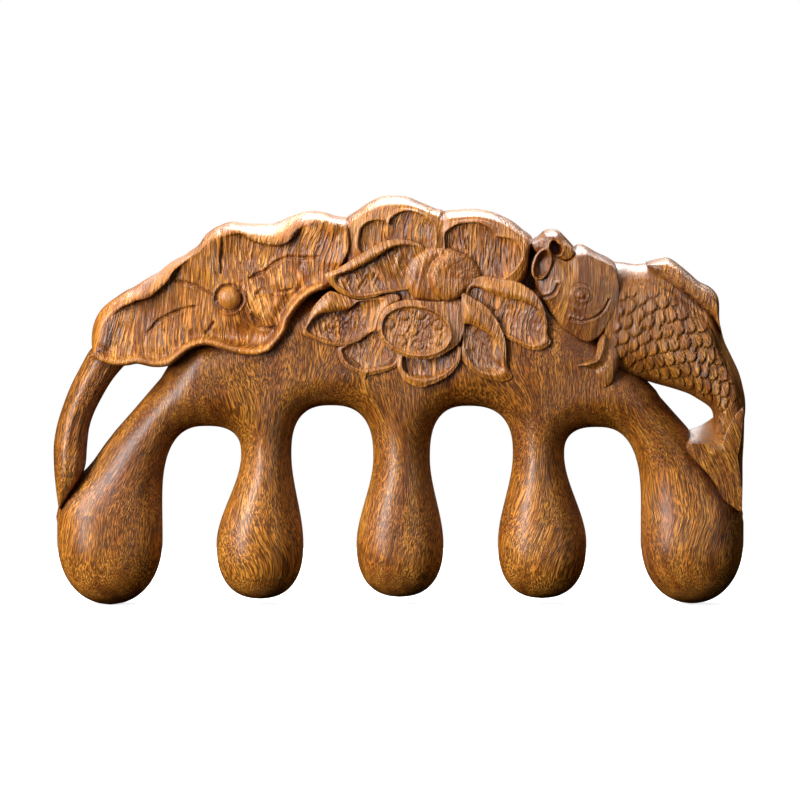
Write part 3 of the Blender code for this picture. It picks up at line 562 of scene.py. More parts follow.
def closed_rings(first, rings, last):
    """Points and faces of a closed skin: an end point, rings of equally many points, and the
    other end point. The rings run counter-clockwise as the front is seen."""
    rings = np.asarray(rings)
    count, around = rings.shape[:2]
    index = 1 + np.arange(count * around).reshape(count, around)
    ahead = np.roll(index, -1, 1)
    quads = np.stack([index[:-1], index[1:], ahead[1:], ahead[:-1]], -1).reshape(-1, 4)
    start = np.zeros(around, int)
    caps = [np.stack([start, index[0], ahead[0]], 1),
            np.stack([start + count * around + 1, ahead[-1], index[-1]], 1)]
    points = np.concatenate([[first], rings.reshape(-1, 3), [last]])
    return points, quads.tolist() + caps[0].tolist() + caps[1].tolist()


def at_depth(places, depth):
    """Points on the front face: flat places with their distance in front of the mid-plane."""
    depth = np.broadcast_to(depth, places.shape[:-1])
    return np.stack([places[..., 0], -depth, places[..., 1]], -1)


def counter_clockwise(outline):
    """The outline's rows, turned round if they run clockwise."""
    x, z = outline[:, 0], outline[:, 1]
    area = np.sum(x * np.roll(z, -1) - np.roll(x, -1) * z)
    return outline if area > 0 else outline[::-1]


def through_board(middle, depth, face, crown):
    """A closed piece cut through the board: the front face from its middle outwards, the crown
    over to the mid-plane, and the same behind."""
    front = np.concatenate([face, crown[:-1]])
    rings = np.concatenate([front, crown[-1:], front[::-1] * (1, -1, 1)])
    return closed_rings((middle[0], -depth, middle[1]), rings, (middle[0], depth, middle[1]))


def marks_inside(count, around, floor_rings, rim_share):
    """How gouged a closed skin's points are: fully in the first rings, and where the skin has
    two faces in the last ones too, and less on the rim between."""
    ring = np.arange((count - 2) // around)
    if len(ring) > 2 * floor_rings + 12:
        ring = np.minimum(ring, ring[::-1])
    share = np.where(ring < floor_rings, 1.0, rim_share)
    return np.concatenate([[1.0], np.repeat(share, around), [1.0]])


def crown_rings(rim, edge, depth, fullness, count):
    """Rings from a face's rim over to the edge on the mid-plane, each a step round a quarter of
    a superellipse."""
    turn = np.linspace(0, np.pi / 2, count + 1)[1:, None, None]
    out = np.sin(turn) ** (2 / fullness)
    back = np.maximum(np.cos(turn), 0) ** (2 / fullness)
    places = rim + out * (edge - rim)
    places = np.broadcast_to(places, (count,) + rim.shape)
    return at_depth(places, depth * back[..., 0])


def leaf_depth(x, z):
    """The blade's height: a step down under the two overhangs of the rim, broad swells, a
    hollow along the lower lip, veins cut as lines, the round boss, and gouge marks."""
    rim = offset_from(curve_through(LEAF_RIM, 150), x, z)
    lip = offset_from(curve_through(LEAF_LIP, 110), x, z)
    under = np.minimum(offset_from(OVERHANGS[0], x, z), offset_from(OVERHANGS[1], x, z))
    step = OVERHANG_STEP * near(under, OVERHANG_REACH)
    blade = LEAF_HALF_DEPTH - step * (1 - near(rim, 0.22))
    inside = np.minimum(rim, lip)
    fall = (LEAF_HALF_DEPTH - LEAF_FLOOR - step) * (1 - np.exp(-(inside / 2.6) ** 1.6))
    blade = blade - np.maximum(fall, -0.4 * (1 - np.exp(-inside / 3)))
    blade = blade + waves(x, z, LEAF_WAVES) * (1 - near(inside, 1.6))
    under_hub = near(lip - 1.2, 1.3) * (0.45 + 0.55 * eased(x, -44.0, -37.0))
    blade = blade - LOWER_HOLLOW * under_hub
    vein = np.min([offset_from(line, x, z) for line in LEAF_VEINS], 0)
    blade = blade - VEIN_DEPTH * near(vein, VEIN_HALF_WIDTH) + 0.06 * near(vein - 0.6, 0.35)
    radius = np.hypot(x - LEAF_HUB[0], z - LEAF_HUB[1])
    clear = eased(radius, 2.8, 4.2) * (1 - near(inside, 0.8))
    left = gouge_marks(x, z, 0.06, 1.15, 5.5, 3)
    right = gouge_marks(x, z, 0.42, 1.1, 5.0, 8)
    blend = eased(x, -34.0, -27.0)
    strength = 0.26 + 0.12 * eased(-x, 36.0, 44.0)
    blade = blade + strength * clear * (left + blend * (right - left) + 0.5)
    boss_floor = LEAF_FLOOR - 0.25
    blade = boss_floor + (blade - boss_floor) * eased(radius, 2.2, 3.7)
    blade = blade + 0.42 * near(radius - 2.95, 0.3)
    dome = boss_floor - 0.1 + 1.7 * np.sqrt(np.maximum(1 - (radius / HUB_RADIUS) ** 2, 0))
    bead = 0.28 * near(rim, 0.3) * near(under, OVERHANG_REACH)
    return np.where(radius < HUB_RADIUS, dome, blade) + bead


upper = curve_through(np.hstack([LEAF_EDGE, LEAF_RIM]), 330)
crest = curve_through(LEAF_LIP, 200)[::-1]
lower = np.hstack([beside(crest, -LEAF_LIP_HALF_WIDTH), crest])
around = counter_clockwise(np.concatenate([upper, lower]))
leaf_edge, leaf_rim = around[:, :2], around[:, 2:]
shares = 1 - np.linspace(0, 1, LEAF_RINGS)[:-1] ** 1.15
shares = np.concatenate([[1.0, 0.994], shares[1:]])[::-1]
places = LEAF_HUB + shares[:, None, None] * (leaf_rim - LEAF_HUB)
depth = leaf_depth(places[..., 0], places[..., 1])
lip = offset_from(curve_through(LEAF_LIP, 110), places[..., 0], places[..., 1])
raised = np.exp(-(lip / 0.82) ** 3.2)
depth = depth + raised * (LEAF_HALF_DEPTH + LEAF_LIP_RISE - depth)
under_petal = eased(places[..., 0], -14.8, -13.2) * eased(-places[..., 1], -65.0, -63.5)
depth = depth + under_petal * (7.0 - depth)
crown = crown_rings(leaf_rim, leaf_edge, depth[-1], CROWN_FULLNESS, LEAF_CROWN_RINGS)
boss_top = float(leaf_depth(*np.array(LEAF_HUB)[:, None])[0])
points, faces = through_board(LEAF_HUB, boss_top, at_depth(places, depth), crown)
# The leaf is the same wood painted lighter: a painted sheen standing in for the light its blade
# catches.
leaf_wood_painted_lighter = oiled_wood("leaf_wood_painted_lighter", tone=1.34, cuts=1.0, cut_angle=0.15)
from_hub = np.hypot(places[..., 0] - LEAF_HUB[0], places[..., 1] - LEAF_HUB[1])
blade_share = (1 - raised) * (from_hub > HUB_RADIUS + 0.05)
over_crown = np.full((2 * LEAF_CROWN_RINGS - 1, len(leaf_rim)), PLAIN_SHARE)
blade_share = np.concatenate([blade_share, over_crown, blade_share[::-1]])
add_wood("lotus_leaf_carving", points, faces,
         ["lotus_leaf", "leaf_hub_front", "leaf_hub_back"], leaf_wood_painted_lighter,
         np.concatenate([[0.0], blade_share.ravel(), [0.0]]))

# The leaf's stem: a flattened round stalk of the same wood, pared and sanded. It runs from under
# the leaf down the left side and dies out on the end tooth, with a shallow groove along it.
STEM_OUTER = [
    (-57.1, 49.0), (-58.4, 48.0), (-60.1, 45.0), (-62.0, 41.3), (-63.5, 37.5), (-64.6, 33.9),
    (-65.2, 30.3), (-65.2, 26.6), (-65.0, 23.6), (-64.7, 20.9), (-64.3, 18.3),
]
STEM_INNER = [
    (-51.2, 45.8), (-52.8, 44.1), (-54.3, 42.2), (-56.0, 39.4), (-57.7, 36.0), (-58.6, 33.0),
    (-59.0, 29.6), (-59.3, 26.2), (-60.3, 23.6), (-62.0, 21.1), (-63.9, 18.3),
]
STEM_HALF_DEPTH = [6.4, 6.4, 6.4, 6.4, 6.5, 6.7, 6.9, 7.0, 6.6, 5.6, 3.8]
STEM_ROWS, STEM_COLUMNS = 120, 44
GROOVE_PLACE, GROOVE_WIDTH = 0.25, 0.10

runs = np.hstack([STEM_OUTER, STEM_INNER, np.array(STEM_HALF_DEPTH)[:, None]])
runs = curve_through(runs, STEM_ROWS)
turn = np.arange(STEM_COLUMNS) * 2 * np.pi / STEM_COLUMNS
across = np.sign(np.cos(turn)) * np.abs(np.cos(turn)) ** 0.85
out = np.sign(np.sin(turn)) * np.abs(np.sin(turn)) ** 0.8
down = np.linspace(0, 1, STEM_ROWS)[:, None]
lengthwise = gouge_marks(3.2 * across + 40, down, 0.0, 0.9, 1.3, 12)
groove = 1 + 0.035 * (lengthwise + 0.5) - 0.05 * near(across - GROOVE_PLACE, GROOVE_WIDTH)
middle = (runs[:, :2] + runs[:, 2:4]) / 2
half = (runs[:, 2:4] - runs[:, :2]) / 2
places = middle[:, None] + across[:, None] * half[:, None]
depth = runs[:, 4:5] * out * groove
rings = at_depth(places, depth)
ends = [np.array([middle[n, 0], 0.0, middle[n, 1]]) for n in (0, -1)]
points, faces = closed_rings(ends[0], rings[:, ::-1], ends[1])
add_wood("leaf_stem_carving", points, faces, ["leaf_stem"], smooth_wood)

# The two back petals of the lotus flower, which make the top of the comb. Each is gouged from
# the full thickness of the wood, rolls over as a broad crown, and has a dished face with a
# notched rim.
cut_wood = oiled_wood("gouged_wood", tone=1.06, cuts=1.0, cut_angle=0.05)
LEFT_BACK_EDGE = [
    (-10.4, 72.3), (-7.9, 74.4), (-5.7, 75.9), (-3.4, 76.9), (-1.1, 77.1), (1.3, 76.9),
    (3.8, 75.9), (6.4, 74.8), (8.5, 73.7), (8.5, 68.8), (7.5, 62.5), (0.0, 61.0), (-8.7, 61.6),
    (-11.1, 67.3),
]
LEFT_BACK_RIM = [
    (-9.6, 71.5), (-7.3, 73.0), (-5.3, 74.2), (-3.0, 74.7), (-1.1, 74.9), (1.3, 75.1),
    (3.8, 74.5), (5.8, 73.4), (8.2, 71.9), (8.2, 68.7), (7.2, 63.6), (0.0, 62.3), (-7.5, 62.9),
    (-10.2, 68.1),
]
LEFT_DISH = [
    (-7.2, 67.0), (-7.7, 68.5), (-7.5, 70.0), (-7.0, 71.5), (-5.7, 72.5), (-4.0, 72.8),
    (-2.6, 72.5), (-2.3, 72.1), (-2.1, 71.9), (-2.0, 72.3), (-1.7, 73.0), (-0.4, 74.0),
    (0.9, 74.5), (2.6, 74.4), (4.3, 73.6), (5.5, 72.7), (6.2, 71.5), (6.4, 68.5), (5.7, 67.0),
    (2.8, 65.1), (-0.9, 64.4), (-4.7, 65.1),
]
RIGHT_BACK_EDGE = [
    (7.9, 73.7), (10.7, 74.4), (13.4, 74.6), (15.8, 74.4), (18.3, 73.7), (21.1, 72.3),
    (23.0, 70.8), (24.9, 69.1), (24.5, 66.5), (24.1, 63.1), (21.7, 59.5), (17.0, 59.0),
    (12.8, 59.7), (7.9, 62.5), (7.7, 68.8),
]
RIGHT_BACK_RIM = [
    (8.2, 72.1), (11.1, 72.8), (13.4, 73.0), (15.8, 72.8), (18.3, 71.9), (20.5, 70.6),
    (22.2, 69.5), (23.6, 67.9), (23.6, 66.1), (23.0, 63.6), (20.7, 60.4), (17.0, 60.0),
    (13.2, 60.8), (8.4, 63.2), (8.0, 68.7),
]
RIGHT_DISH = [
    (8.1, 67.4), (8.3, 68.7), (8.7, 70.4), (10.0, 71.5), (11.5, 72.1), (14.3, 72.3),
    (16.0, 71.7), (17.1, 71.0), (17.7, 70.2), (17.9, 69.7), (18.2, 69.6), (19.2, 69.5),
    (21.1, 69.1), (22.2, 67.9), (22.8, 66.4), (22.2, 64.9), (20.9, 63.2), (19.2, 62.1),
    (17.0, 61.5), (13.2, 62.5), (9.4, 64.7),
]
LEFT_TUCK = [
    (-11.7, 62.9), (-9.4, 64.4), (-7.2, 65.7), (-5.1, 67.0), (-3.0, 67.9), (0.9, 68.3),
    (4.7, 66.6), (8.5, 65.1),
]
RIGHT_TUCK = [
    (7.7, 66.3), (11.3, 65.9), (13.9, 64.4), (15.8, 61.4), (18.8, 61.0), (21.7, 60.4),
    (24.5, 59.1),
]
BACK_FLOOR = 6.7
BACK_LIP = 7.5
BACK_HALF_DEPTH = 7.2
TUCKED_DEPTH = 6.2
BACK_RAYS, BACK_RINGS = 380, 42
BACK_CROWN_RINGS = 10


def ray_lengths(outline, middle, angles):
    """How far a closed outline is from a middle along each angle, and its other columns there."""
    dense = curve_through(outline, 900, closed=True)
    dx, dz = dense[:, 0] - middle[0], dense[:, 1] - middle[1]
    turn = np.arctan2(dz, dx)
    return [np.interp(angles, turn, column, period=2 * np.pi)
            for column in (np.hypot(dx, dz), *dense[:, 2:].T)]


def rayed(middle, angles, radii):
    """Flat places at given distances from a middle along each angle."""
    return np.stack([middle[0] + radii * np.cos(angles), middle[1] + radii * np.sin(angles)], -1)


def all_round(count):
    """Evenly spaced angles for a full turn."""
    return np.linspace(-np.pi, np.pi, count, endpoint=False)


def outwards(count):
    """Even shares of the way out from a middle, one row for each ring."""
    return np.linspace(0, 1, count + 1)[1:, None]


def back_petal(edge, rim, dish, tuck, middle, lean, seed):
    """A petal cut through the board: a floor with gouge marks, a steep step up to the dish's
    edge with a fine bead on it, a slope out to the rim, and a crown over to the mid-plane. The
    part below the tuck line is lower, to lie under the petals in front."""
    angles = all_round(BACK_RAYS)
    edge_reach, = ray_lengths(edge, middle, angles)
    rim_reach, = ray_lengths(rim, middle, angles)
    dish_reach, = ray_lengths(dish, middle, angles)
    dish_reach = np.minimum(dish_reach, rim_reach - 0.5)
    share = outwards(BACK_RINGS)
    hollow = share * dish_reach
    places = rayed(middle, angles, hollow)
    marks = gouge_marks(places[..., 0], places[..., 1], lean, 1.0, 6.0, seed)
    fade = 1 - share ** 8
    depth = BACK_FLOOR + (BACK_LIP - 0.5 - BACK_FLOOR) * share ** 3
    depth = depth + 0.48 * (marks + 0.45) * fade
    step = np.array([0.07, 0.14, 0.26, 0.42, 0.62, 0.9])[:, None]
    rise = np.array([-0.2, 0.02, 0.14, 0.16, 0.05, -0.06])[:, None]
    outward = dish_reach + step * np.minimum(rim_reach - dish_reach, 1)
    slope = outwards(6)
    last = outward[-1]
    flat = last + slope * (rim_reach - last)
    radii = np.concatenate([hollow, outward, flat])
    fall = BACK_LIP - 0.06 + (BACK_HALF_DEPTH - BACK_LIP + 0.06) * eased(slope, 0, 1)
    depths = np.concatenate([depth, BACK_LIP + rise + 0 * outward, fall + 0 * flat])
    flat_places = rayed(middle, angles, radii)
    tuck = np.array(tuck)
    below = np.interp(flat_places[..., 0], tuck[:, 0], tuck[:, 1]) - flat_places[..., 1]
    depths = depths - eased(below, -0.2, 0.8) * np.maximum(depths - TUCKED_DEPTH, 0)
    face = at_depth(flat_places, depths)
    crown = crown_rings(rayed(middle, angles, rim_reach), rayed(middle, angles, edge_reach),
                        depths[-1], CROWN_FULLNESS, BACK_CROWN_RINGS)
    return through_board(middle, BACK_FLOOR, face, crown)


for name, edge, rim, dish, tuck, middle, lean, seed in (
        ("back_petal_left", LEFT_BACK_EDGE, LEFT_BACK_RIM, LEFT_DISH, LEFT_TUCK,
         (-0.6, 69.4), 0.04, 21),
        ("back_petal_right", RIGHT_BACK_EDGE, RIGHT_BACK_RIM, RIGHT_DISH, RIGHT_TUCK,
         (16.4, 66.6), 0.12, 27)):
    points, faces = back_petal(edge, rim, dish, tuck, middle, lean, seed)
    add_wood(name + "_carving", points, faces, [name], cut_wood,
             marks_inside(len(points), BACK_RAYS, BACK_RINGS, 0.15))

# The flower's heart: the ground between the petals, the bud and the pod. It is gouged wood that
# stands a little above the arched plate on both faces.
HEART_OUTLINE = [
    (-9.4, 58.0), (-7.5, 60.2), (-4.1, 60.8), (0.0, 63.6), (5.7, 65.1), (11.7, 60.6),
    (13.9, 59.8), (14.7, 56.1), (13.2, 51.2), (7.5, 48.2), (0.0, 48.2), (-5.3, 49.7),
    (-6.4, 53.4), (-7.5, 56.1),
]
HEART_MIDDLE = (3.0, 56.5)
HEART_DEPTH = 6.4
HEART_RINGS = 49
SEAT_DEPTH = 4.4
RELIEF_RAYS = 300


def raised_on_seat(middle, angles, radii, depths, seat=SEAT_DEPTH):
    """A closed piece from rings of a front face: a rounded edge, a wall down to a seat inside
    the body, and a flat back."""
    e = np.clip(0.35 * (radii[-1] - radii[-2]) + 0.2, 0.1, 0.4)
    turn = np.radians([25, 50, 70, 90])[:, None]
    edge_radii = radii[-1] + e * np.sin(turn)
    edge_depths = depths[-1] - e * (1 - np.cos(turn))
    wall_radii = np.stack([edge_radii[-1] + 0.02, edge_radii[-1] - 0.15])
    wall_depths = np.stack([(edge_depths[-1] + seat) / 2, np.full(len(angles), seat)])
    radii = np.concatenate([radii, edge_radii, wall_radii])
    depths = np.concatenate([depths, edge_depths, wall_depths])
    rings = at_depth(rayed(middle, angles, radii), depths)
    return closed_rings((middle[0], -depths[0].mean(), middle[1]), rings,
                        (middle[0], -seat, middle[1]))


def add_pair(name, points, faces, finish, gouged=1.0):
    """A raised piece on the front face, and its mirror image on the back."""
    turned = [face[::-1] for face in faces]
    add_wood(name + "_front_carving", points, faces, [name + "_front"], finish, gouged)
    add_wood(name + "_back_carving", points * (1, -1, 1), turned, [name + "_back"], finish, gouged)


angles = all_round(RELIEF_RAYS)
reach, = ray_lengths(HEART_OUTLINE, HEART_MIDDLE, angles)
radii = outwards(HEART_RINGS) * reach
places = rayed(HEART_MIDDLE, angles, radii)
marks = gouge_marks(places[..., 0], places[..., 1], 0.12, 0.95, 5.0, 33)
points, faces = raised_on_seat(HEART_MIDDLE, angles, radii, HEART_DEPTH + 0.4 * (marks + 0.5))
turned = [face[::-1] for face in faces]
add_wood("flower_heart_front", points, faces, ["comb_spine"], cut_wood)
add_wood("flower_heart_back", points * (1, -1, 1), turned, ["comb_spine"], cut_wood)

# The six front petals, carved in relief on both faces. Each has a raised rim round a gouged
# hollow, and most have one side rolled over as a broad smooth curl that overhangs the hollow.
# A petal has its name, middle, floor, the lean, width and length of its gouge marks, the rim's
# outer edge with its height, and the hollow's edge with the step down to it.
PETAL_RINGS = 33
FRONT_PETALS = [
    ("petal_1", (-5.2, 63.3), 6.95, 0.25, 0.85, 2.6, [
        (-14.1, 62.5, 7.9), (-11.7, 63.8, 8.1), (-9.4, 65.3, 8.2), (-7.2, 66.6, 8.2),
        (-5.1, 67.9, 8.2), (-3.0, 68.9, 8.1), (-0.9, 69.3, 8), (0.9, 69.3, 7.9), (3.0, 68.7, 7.7),
        (4.7, 67.4, 7.4), (4.9, 62.7, 7.2), (3.0, 60.2, 7.3), (0.9, 59.7, 7.5), (-1.3, 59.3, 7.6),
        (-3.4, 58.9, 7.7), (-4.9, 58.3, 7.7), (-7.9, 58.0, 7.7), (-10.2, 58.7, 7.8),
        (-12.1, 59.8, 7.8),
    ], [
        (-11.7, 62.3, 0.5), (-10.4, 62.9, 1.1), (-8.5, 63.6, 1.3), (-6.0, 64.9, 1.3),
        (-4.0, 66.1, 1.3), (-2.4, 67.2, 1.2), (-0.8, 67.9, 1), (1.3, 68.1, 0.7), (3.2, 67.6, 0.3),
        (4.0, 65.5, 0.1), (3.8, 62.7, 0.1), (2.3, 60.8, 0.15), (0.4, 60.1, 0.3), (-1.7, 59.8, 0.35),
        (-3.4, 59.6, 0.35), (-4.9, 59.4, 0.35), (-7.2, 59.1, 0.35), (-9.0, 59.3, 0.35),
        (-10.7, 60.2, 0.3), (-11.7, 61.2, 0.3),
    ]),
    ("petal_2", (-11.6, 52.8), 6.6, 0.1, 0.55, 1.1, [
        (-18.3, 51.6, 7.6), (-17.5, 53.6, 7.9), (-16.6, 55.9, 8.1), (-15.6, 57.4, 8.1),
        (-14.1, 58.9, 8), (-13.0, 59.5, 7.8), (-11.3, 59.1, 7.6), (-10.2, 58.7, 7.5),
        (-7.9, 58.0, 7.4), (-4.9, 58.3, 7.2), (-1.3, 59.1, 7.1), (0.0, 58.0, 7.1),
        (-2.3, 56.1, 7.2), (-3.6, 54.2, 7.3), (-4.1, 52.1, 7.4), (-5.7, 51.6, 7.4),
        (-7.5, 50.2, 7.5), (-9.2, 49.5, 7.5), (-11.3, 49.1, 7.5), (-14.1, 49.7, 7.5),
        (-16.4, 50.6, 7.5),
    ], [
        (-17.3, 52.3, 0.5), (-16.8, 53.6, 1.1), (-15.4, 54.9, 1.4), (-13.8, 55.5, 1.4),
        (-10.9, 55.7, 1.4), (-9.2, 56.3, 1.3), (-7.9, 57.6, 0.8), (-6.0, 57.8, 0.3),
        (-3.8, 57.4, 0.1), (-4.3, 55.1, 0.1), (-5.1, 52.9, 0.2), (-6.2, 51.9, 0.3),
        (-7.7, 50.8, 0.35), (-9.4, 50.1, 0.35), (-11.3, 49.9, 0.35), (-13.8, 50.4, 0.35),
        (-15.8, 51.2, 0.35),
    ]),
    ("petal_3", (-5.2, 48.4), 6.35, -0.3, 0.8, 3.0, [
        (-11.7, 48.9, 7.2), (-11.5, 47.0, 7.2), (-10.4, 45.3, 7.2), (-8.3, 44.2, 7.2),
        (-7.2, 43.5, 7.2), (-6.6, 42.9, 7.1), (-6.2, 43.5, 7.1), (-4.7, 43.8, 7.2),
        (-2.6, 44.4, 7.2), (-0.8, 45.2, 7.1), (0.4, 47.0, 6.9), (0.9, 49.5, 6.8), (-0.4, 51.9, 6.8),
        (-3.8, 53.3, 6.8), (-6.4, 52.1, 6.9), (-8.7, 50.6, 7), (-10.6, 49.7, 7.1),
    ], [
        (-10.7, 48.5, 0.4), (-10.2, 47.0, 0.5), (-9.2, 45.9, 0.5), (-8.1, 45.2, 0.5),
        (-6.4, 45.0, 0.5), (-4.5, 45.2, 0.5), (-2.6, 45.5, 0.5), (-1.3, 46.1, 0.3),
        (-0.2, 48.0, 0.1), (0.2, 49.9, 0.1), (-1.1, 51.6, 0.1), (-3.6, 52.5, 0.1),
        (-5.8, 51.4, 0.1), (-8.1, 49.9, 0.2), (-9.8, 49.1, 0.3),
    ]),
    ("petal_4", (5.3, 46.6), 6.45, -0.05, 0.8, 3.2, [
        (-0.4, 47.8, 7.6), (-0.6, 45.7, 7.7), (-0.2, 44.4, 7.7), (0.6, 42.9, 7.8), (2.3, 41.9, 7.8),
        (4.0, 41.4, 7.8), (5.7, 41.9, 7.8), (6.8, 42.3, 7.8), (9.2, 43.6, 7.7), (10.7, 45.3, 7.7),
        (11.5, 47.2, 7.6), (11.3, 49.3, 7.3), (9.0, 50.2, 7), (3.8, 50.0, 7), (0.8, 49.3, 7.2),
    ], [
        (0.6, 47.0, 0.6), (0.7, 45.2, 0.9), (1.7, 44.0, 0.9), (4.0, 43.5, 0.9), (6.0, 43.6, 0.9),
        (8.5, 44.7, 0.9), (10.2, 46.3, 0.7), (10.6, 48.0, 0.6), (10.4, 49.1, 0.2), (8.7, 49.5, 0.1),
        (4.7, 49.3, 0.1), (1.5, 48.5, 0.3),
    ]),
    ("petal_5", (21.2, 54.6), 6.6, 0.3, 0.7, 1.6, [
        (12.4, 61.0, 7.7), (15.3, 62.3, 7.9), (18.5, 61.9, 8), (21.7, 61.4, 8), (23.6, 60.4, 8),
        (25.2, 59.3, 8), (26.4, 57.8, 7.9), (27.3, 55.5, 7.8), (27.7, 53.1, 7.7), (27.7, 51.4, 7.6),
        (28.3, 49.7, 7.4), (26.4, 48.5, 7.5), (23.9, 48.7, 7.5), (22.0, 49.7, 7.4),
        (20.3, 50.4, 7.3), (18.5, 51.6, 7.2), (17.1, 53.6, 7.1), (15.6, 55.5, 7.1),
        (13.6, 57.2, 7.1), (11.9, 58.7, 7.2),
    ], [
        (13.6, 60.2, 0.5), (15.4, 59.9, 0.9), (17.5, 58.9, 1.1), (20.0, 58.2, 1.1),
        (22.4, 57.8, 1.1), (23.9, 57.3, 0.9), (25.4, 56.5, 0.6), (26.4, 55.3, 0.3),
        (26.9, 53.4, 0.25), (26.8, 51.6, 0.25), (26.2, 50.2, 0.3), (24.5, 49.7, 0.3),
        (22.6, 50.4, 0.3), (20.7, 51.4, 0.2), (18.8, 52.5, 0.1), (17.3, 54.6, 0.1),
        (15.6, 56.5, 0.1), (13.2, 58.7, 0.2),
    ]),
    ("petal_6", (15.6, 48.4), 6.6, -0.35, 0.8, 3.0, [
        (11.7, 59.3, 7.9), (13.8, 58.2, 8), (16.0, 56.8, 8), (17.5, 55.1, 8), (18.7, 53.3, 8),
        (19.6, 51.2, 7.9), (20.0, 49.1, 7.8), (20.0, 47.2, 7.7), (20.2, 45.3, 7.5),
        (21.1, 43.3, 7.2), (19.6, 42.5, 7.3), (17.7, 42.7, 7.4), (15.3, 43.3, 7.4),
        (13.4, 44.6, 7.3), (11.9, 46.1, 7.2), (10.9, 47.6, 7.1), (11.5, 49.5, 7.2),
        (11.7, 52.3, 7.5), (11.5, 54.6, 7.8), (11.5, 57.2, 7.9),
    ], [
        (12.4, 53.4, 0.8), (14.1, 52.9, 1.1), (16.2, 51.7, 1.2), (17.7, 50.4, 1.1),
        (18.7, 48.7, 0.6), (18.8, 47.0, 0.3), (18.8, 45.3, 0.3), (17.5, 44.5, 0.4),
        (15.4, 44.8, 0.4), (13.9, 45.9, 0.4), (12.8, 47.6, 0.2), (12.2, 50.0, 0.1),
        (12.2, 52.3, 0.3),
    ]),
]


def petal(outer, inner, middle, floor, lean, width, length, seed):
    """A petal's front face as rings: a hollow that falls to its floor, the step up to the rim,
    and a rim that is domed the more the broader it is."""
    angles = all_round(RELIEF_RAYS)
    reach, crest = ray_lengths(outer, middle, angles)
    hollow, cliff = ray_lengths(inner, middle, angles)
    reach = reach - 0.3
    hollow = np.minimum(hollow, reach - 0.3)
    share = outwards(PETAL_RINGS)
    radii = share * hollow
    places = rayed(middle, angles, radii)
    marks = gouge_marks(places[..., 0], places[..., 1], lean, width, length, seed)
    depths = floor + (crest - cliff - floor) * share ** 2.4
    depths = depths + 0.46 * (marks + 0.5) * (1 - share ** 7)
    band = reach - hollow
    step = np.array([0.06, 0.12, 0.2])[:, None] * np.minimum(band / 0.5, 1)
    rise = np.array([0.5, 0.08, 0.0])[:, None]
    across = outwards(8)
    rim_radii = hollow + step[-1] + across * (reach - hollow - step[-1])
    bulge = (0.05 + 0.17 * band) * np.sin(np.pi * np.minimum(across * 1.1, 1) ** 0.8)
    x, z = np.moveaxis(rayed(middle, angles, rim_radii), -1, 0)
    grain = gouge_marks(x, z, lean, 0.9, 4.0, seed + 5)
    rim_depths = crest + bulge + 0.05 * grain * np.sin(np.pi * across)
    radii = np.concatenate([radii, hollow + step, rim_radii])
    depths = np.concatenate([depths, crest - rise * cliff, rim_depths])
    return raised_on_seat(middle, angles, radii, depths)


for number, (name, middle, floor, lean, width, length, outer, inner) in enumerate(FRONT_PETALS):
    points, faces = petal(outer, inner, middle, floor, lean, width, length, 40 + 7 * number)
    add_pair(name, points, faces, cut_wood,
             marks_inside(len(points), RELIEF_RAYS, PETAL_RINGS, 0.25))

# The lotus bud above the pod: a smooth dome carved in relief in two lobes, the right one lapping
# over the left one along a curved step, with fine gouge marks that follow the lobes.
BUD_OUTLINE = [
    (0.9, 62.5), (1.5, 64.7), (2.8, 66.4), (5.3, 67.8), (8.3, 67.9), (11.3, 66.8), (13.4, 65.7),
    (14.7, 64.0), (15.3, 62.3), (14.1, 60.8), (12.4, 59.5), (10.9, 58.3), (8.7, 57.6),
    (5.7, 57.6), (2.8, 58.2), (1.3, 60.0),
]
BUD_MIDDLE = (7.6, 62.4)
BUD_EDGE, BUD_HEIGHT = 7.35, 8.55
LOBE_OUTLINE = [
    (8.3, 66.6), (6.8, 65.7), (5.7, 64.4), (5.1, 62.3), (5.5, 60.2), (6.8, 58.5), (8.3, 57.4),
    (13.2, 56.1), (18.8, 59.8), (17.0, 67.4), (11.3, 69.3),
]
LOBE_STEP = 1.25
LOBE_CENTRE = (14.8, 60.4)
BUD_FULLNESS = 2.2
DOME_RINGS = 43


def domed_plate(outline, middle, edge, height, fullness, relief):
    """A raised dome: its height falls from the middle to the edge as a superellipse, and relief
    adds to it at each place and share of the way out."""
    angles = all_round(RELIEF_RAYS)
    reach, = ray_lengths(outline, middle, angles)
    share = np.sin(np.pi / 2 * outwards(DOME_RINGS))
    radii = share * (reach - 0.25)
    places = rayed(middle, angles, radii)
    depths = edge + (height - edge) * np.maximum(1 - share ** fullness, 0) ** (1 / fullness)
    depths = depths + relief(places[..., 0], places[..., 1], share)
    return raised_on_seat(middle, angles, radii, depths)


def bud_relief(x, z, share):
    """The step up to the right lobe, which fades away from it, and gouge marks that run down
    the left lobe and follow the right lobe's edge round."""
    away = offset_from(LOBE_OUTLINE[:7], x, z)
    lobe = within(LOBE_OUTLINE, x, z)
    step = LOBE_STEP * (1 - np.exp(-(away / 0.5) ** 1.2)) * near(away, 5.5)
    valley = -0.35 * near(away, 0.7) * (1 - share ** 4)
    aside, up = x - LOBE_CENTRE[0], z - LOBE_CENTRE[1]
    across = np.hypot(aside / 1.25, up)
    along = 9 * np.arctan2(up, aside)
    right = gouge_marks(across, along, 0.0, 0.7, 7.0, 67)
    left = gouge_marks(x, z, 0.2, 0.75, 7.0, 61)
    return np.where(lobe, step - 0.4 + 0.14 * right, valley + 0.24 * left) + 0.06 * (1 - share ** 6)


points, faces = domed_plate(BUD_OUTLINE, BUD_MIDDLE, BUD_EDGE, BUD_HEIGHT, BUD_FULLNESS,
                            bud_relief)
add_pair("lotus_bud", points, faces, cut_wood, 0.25)

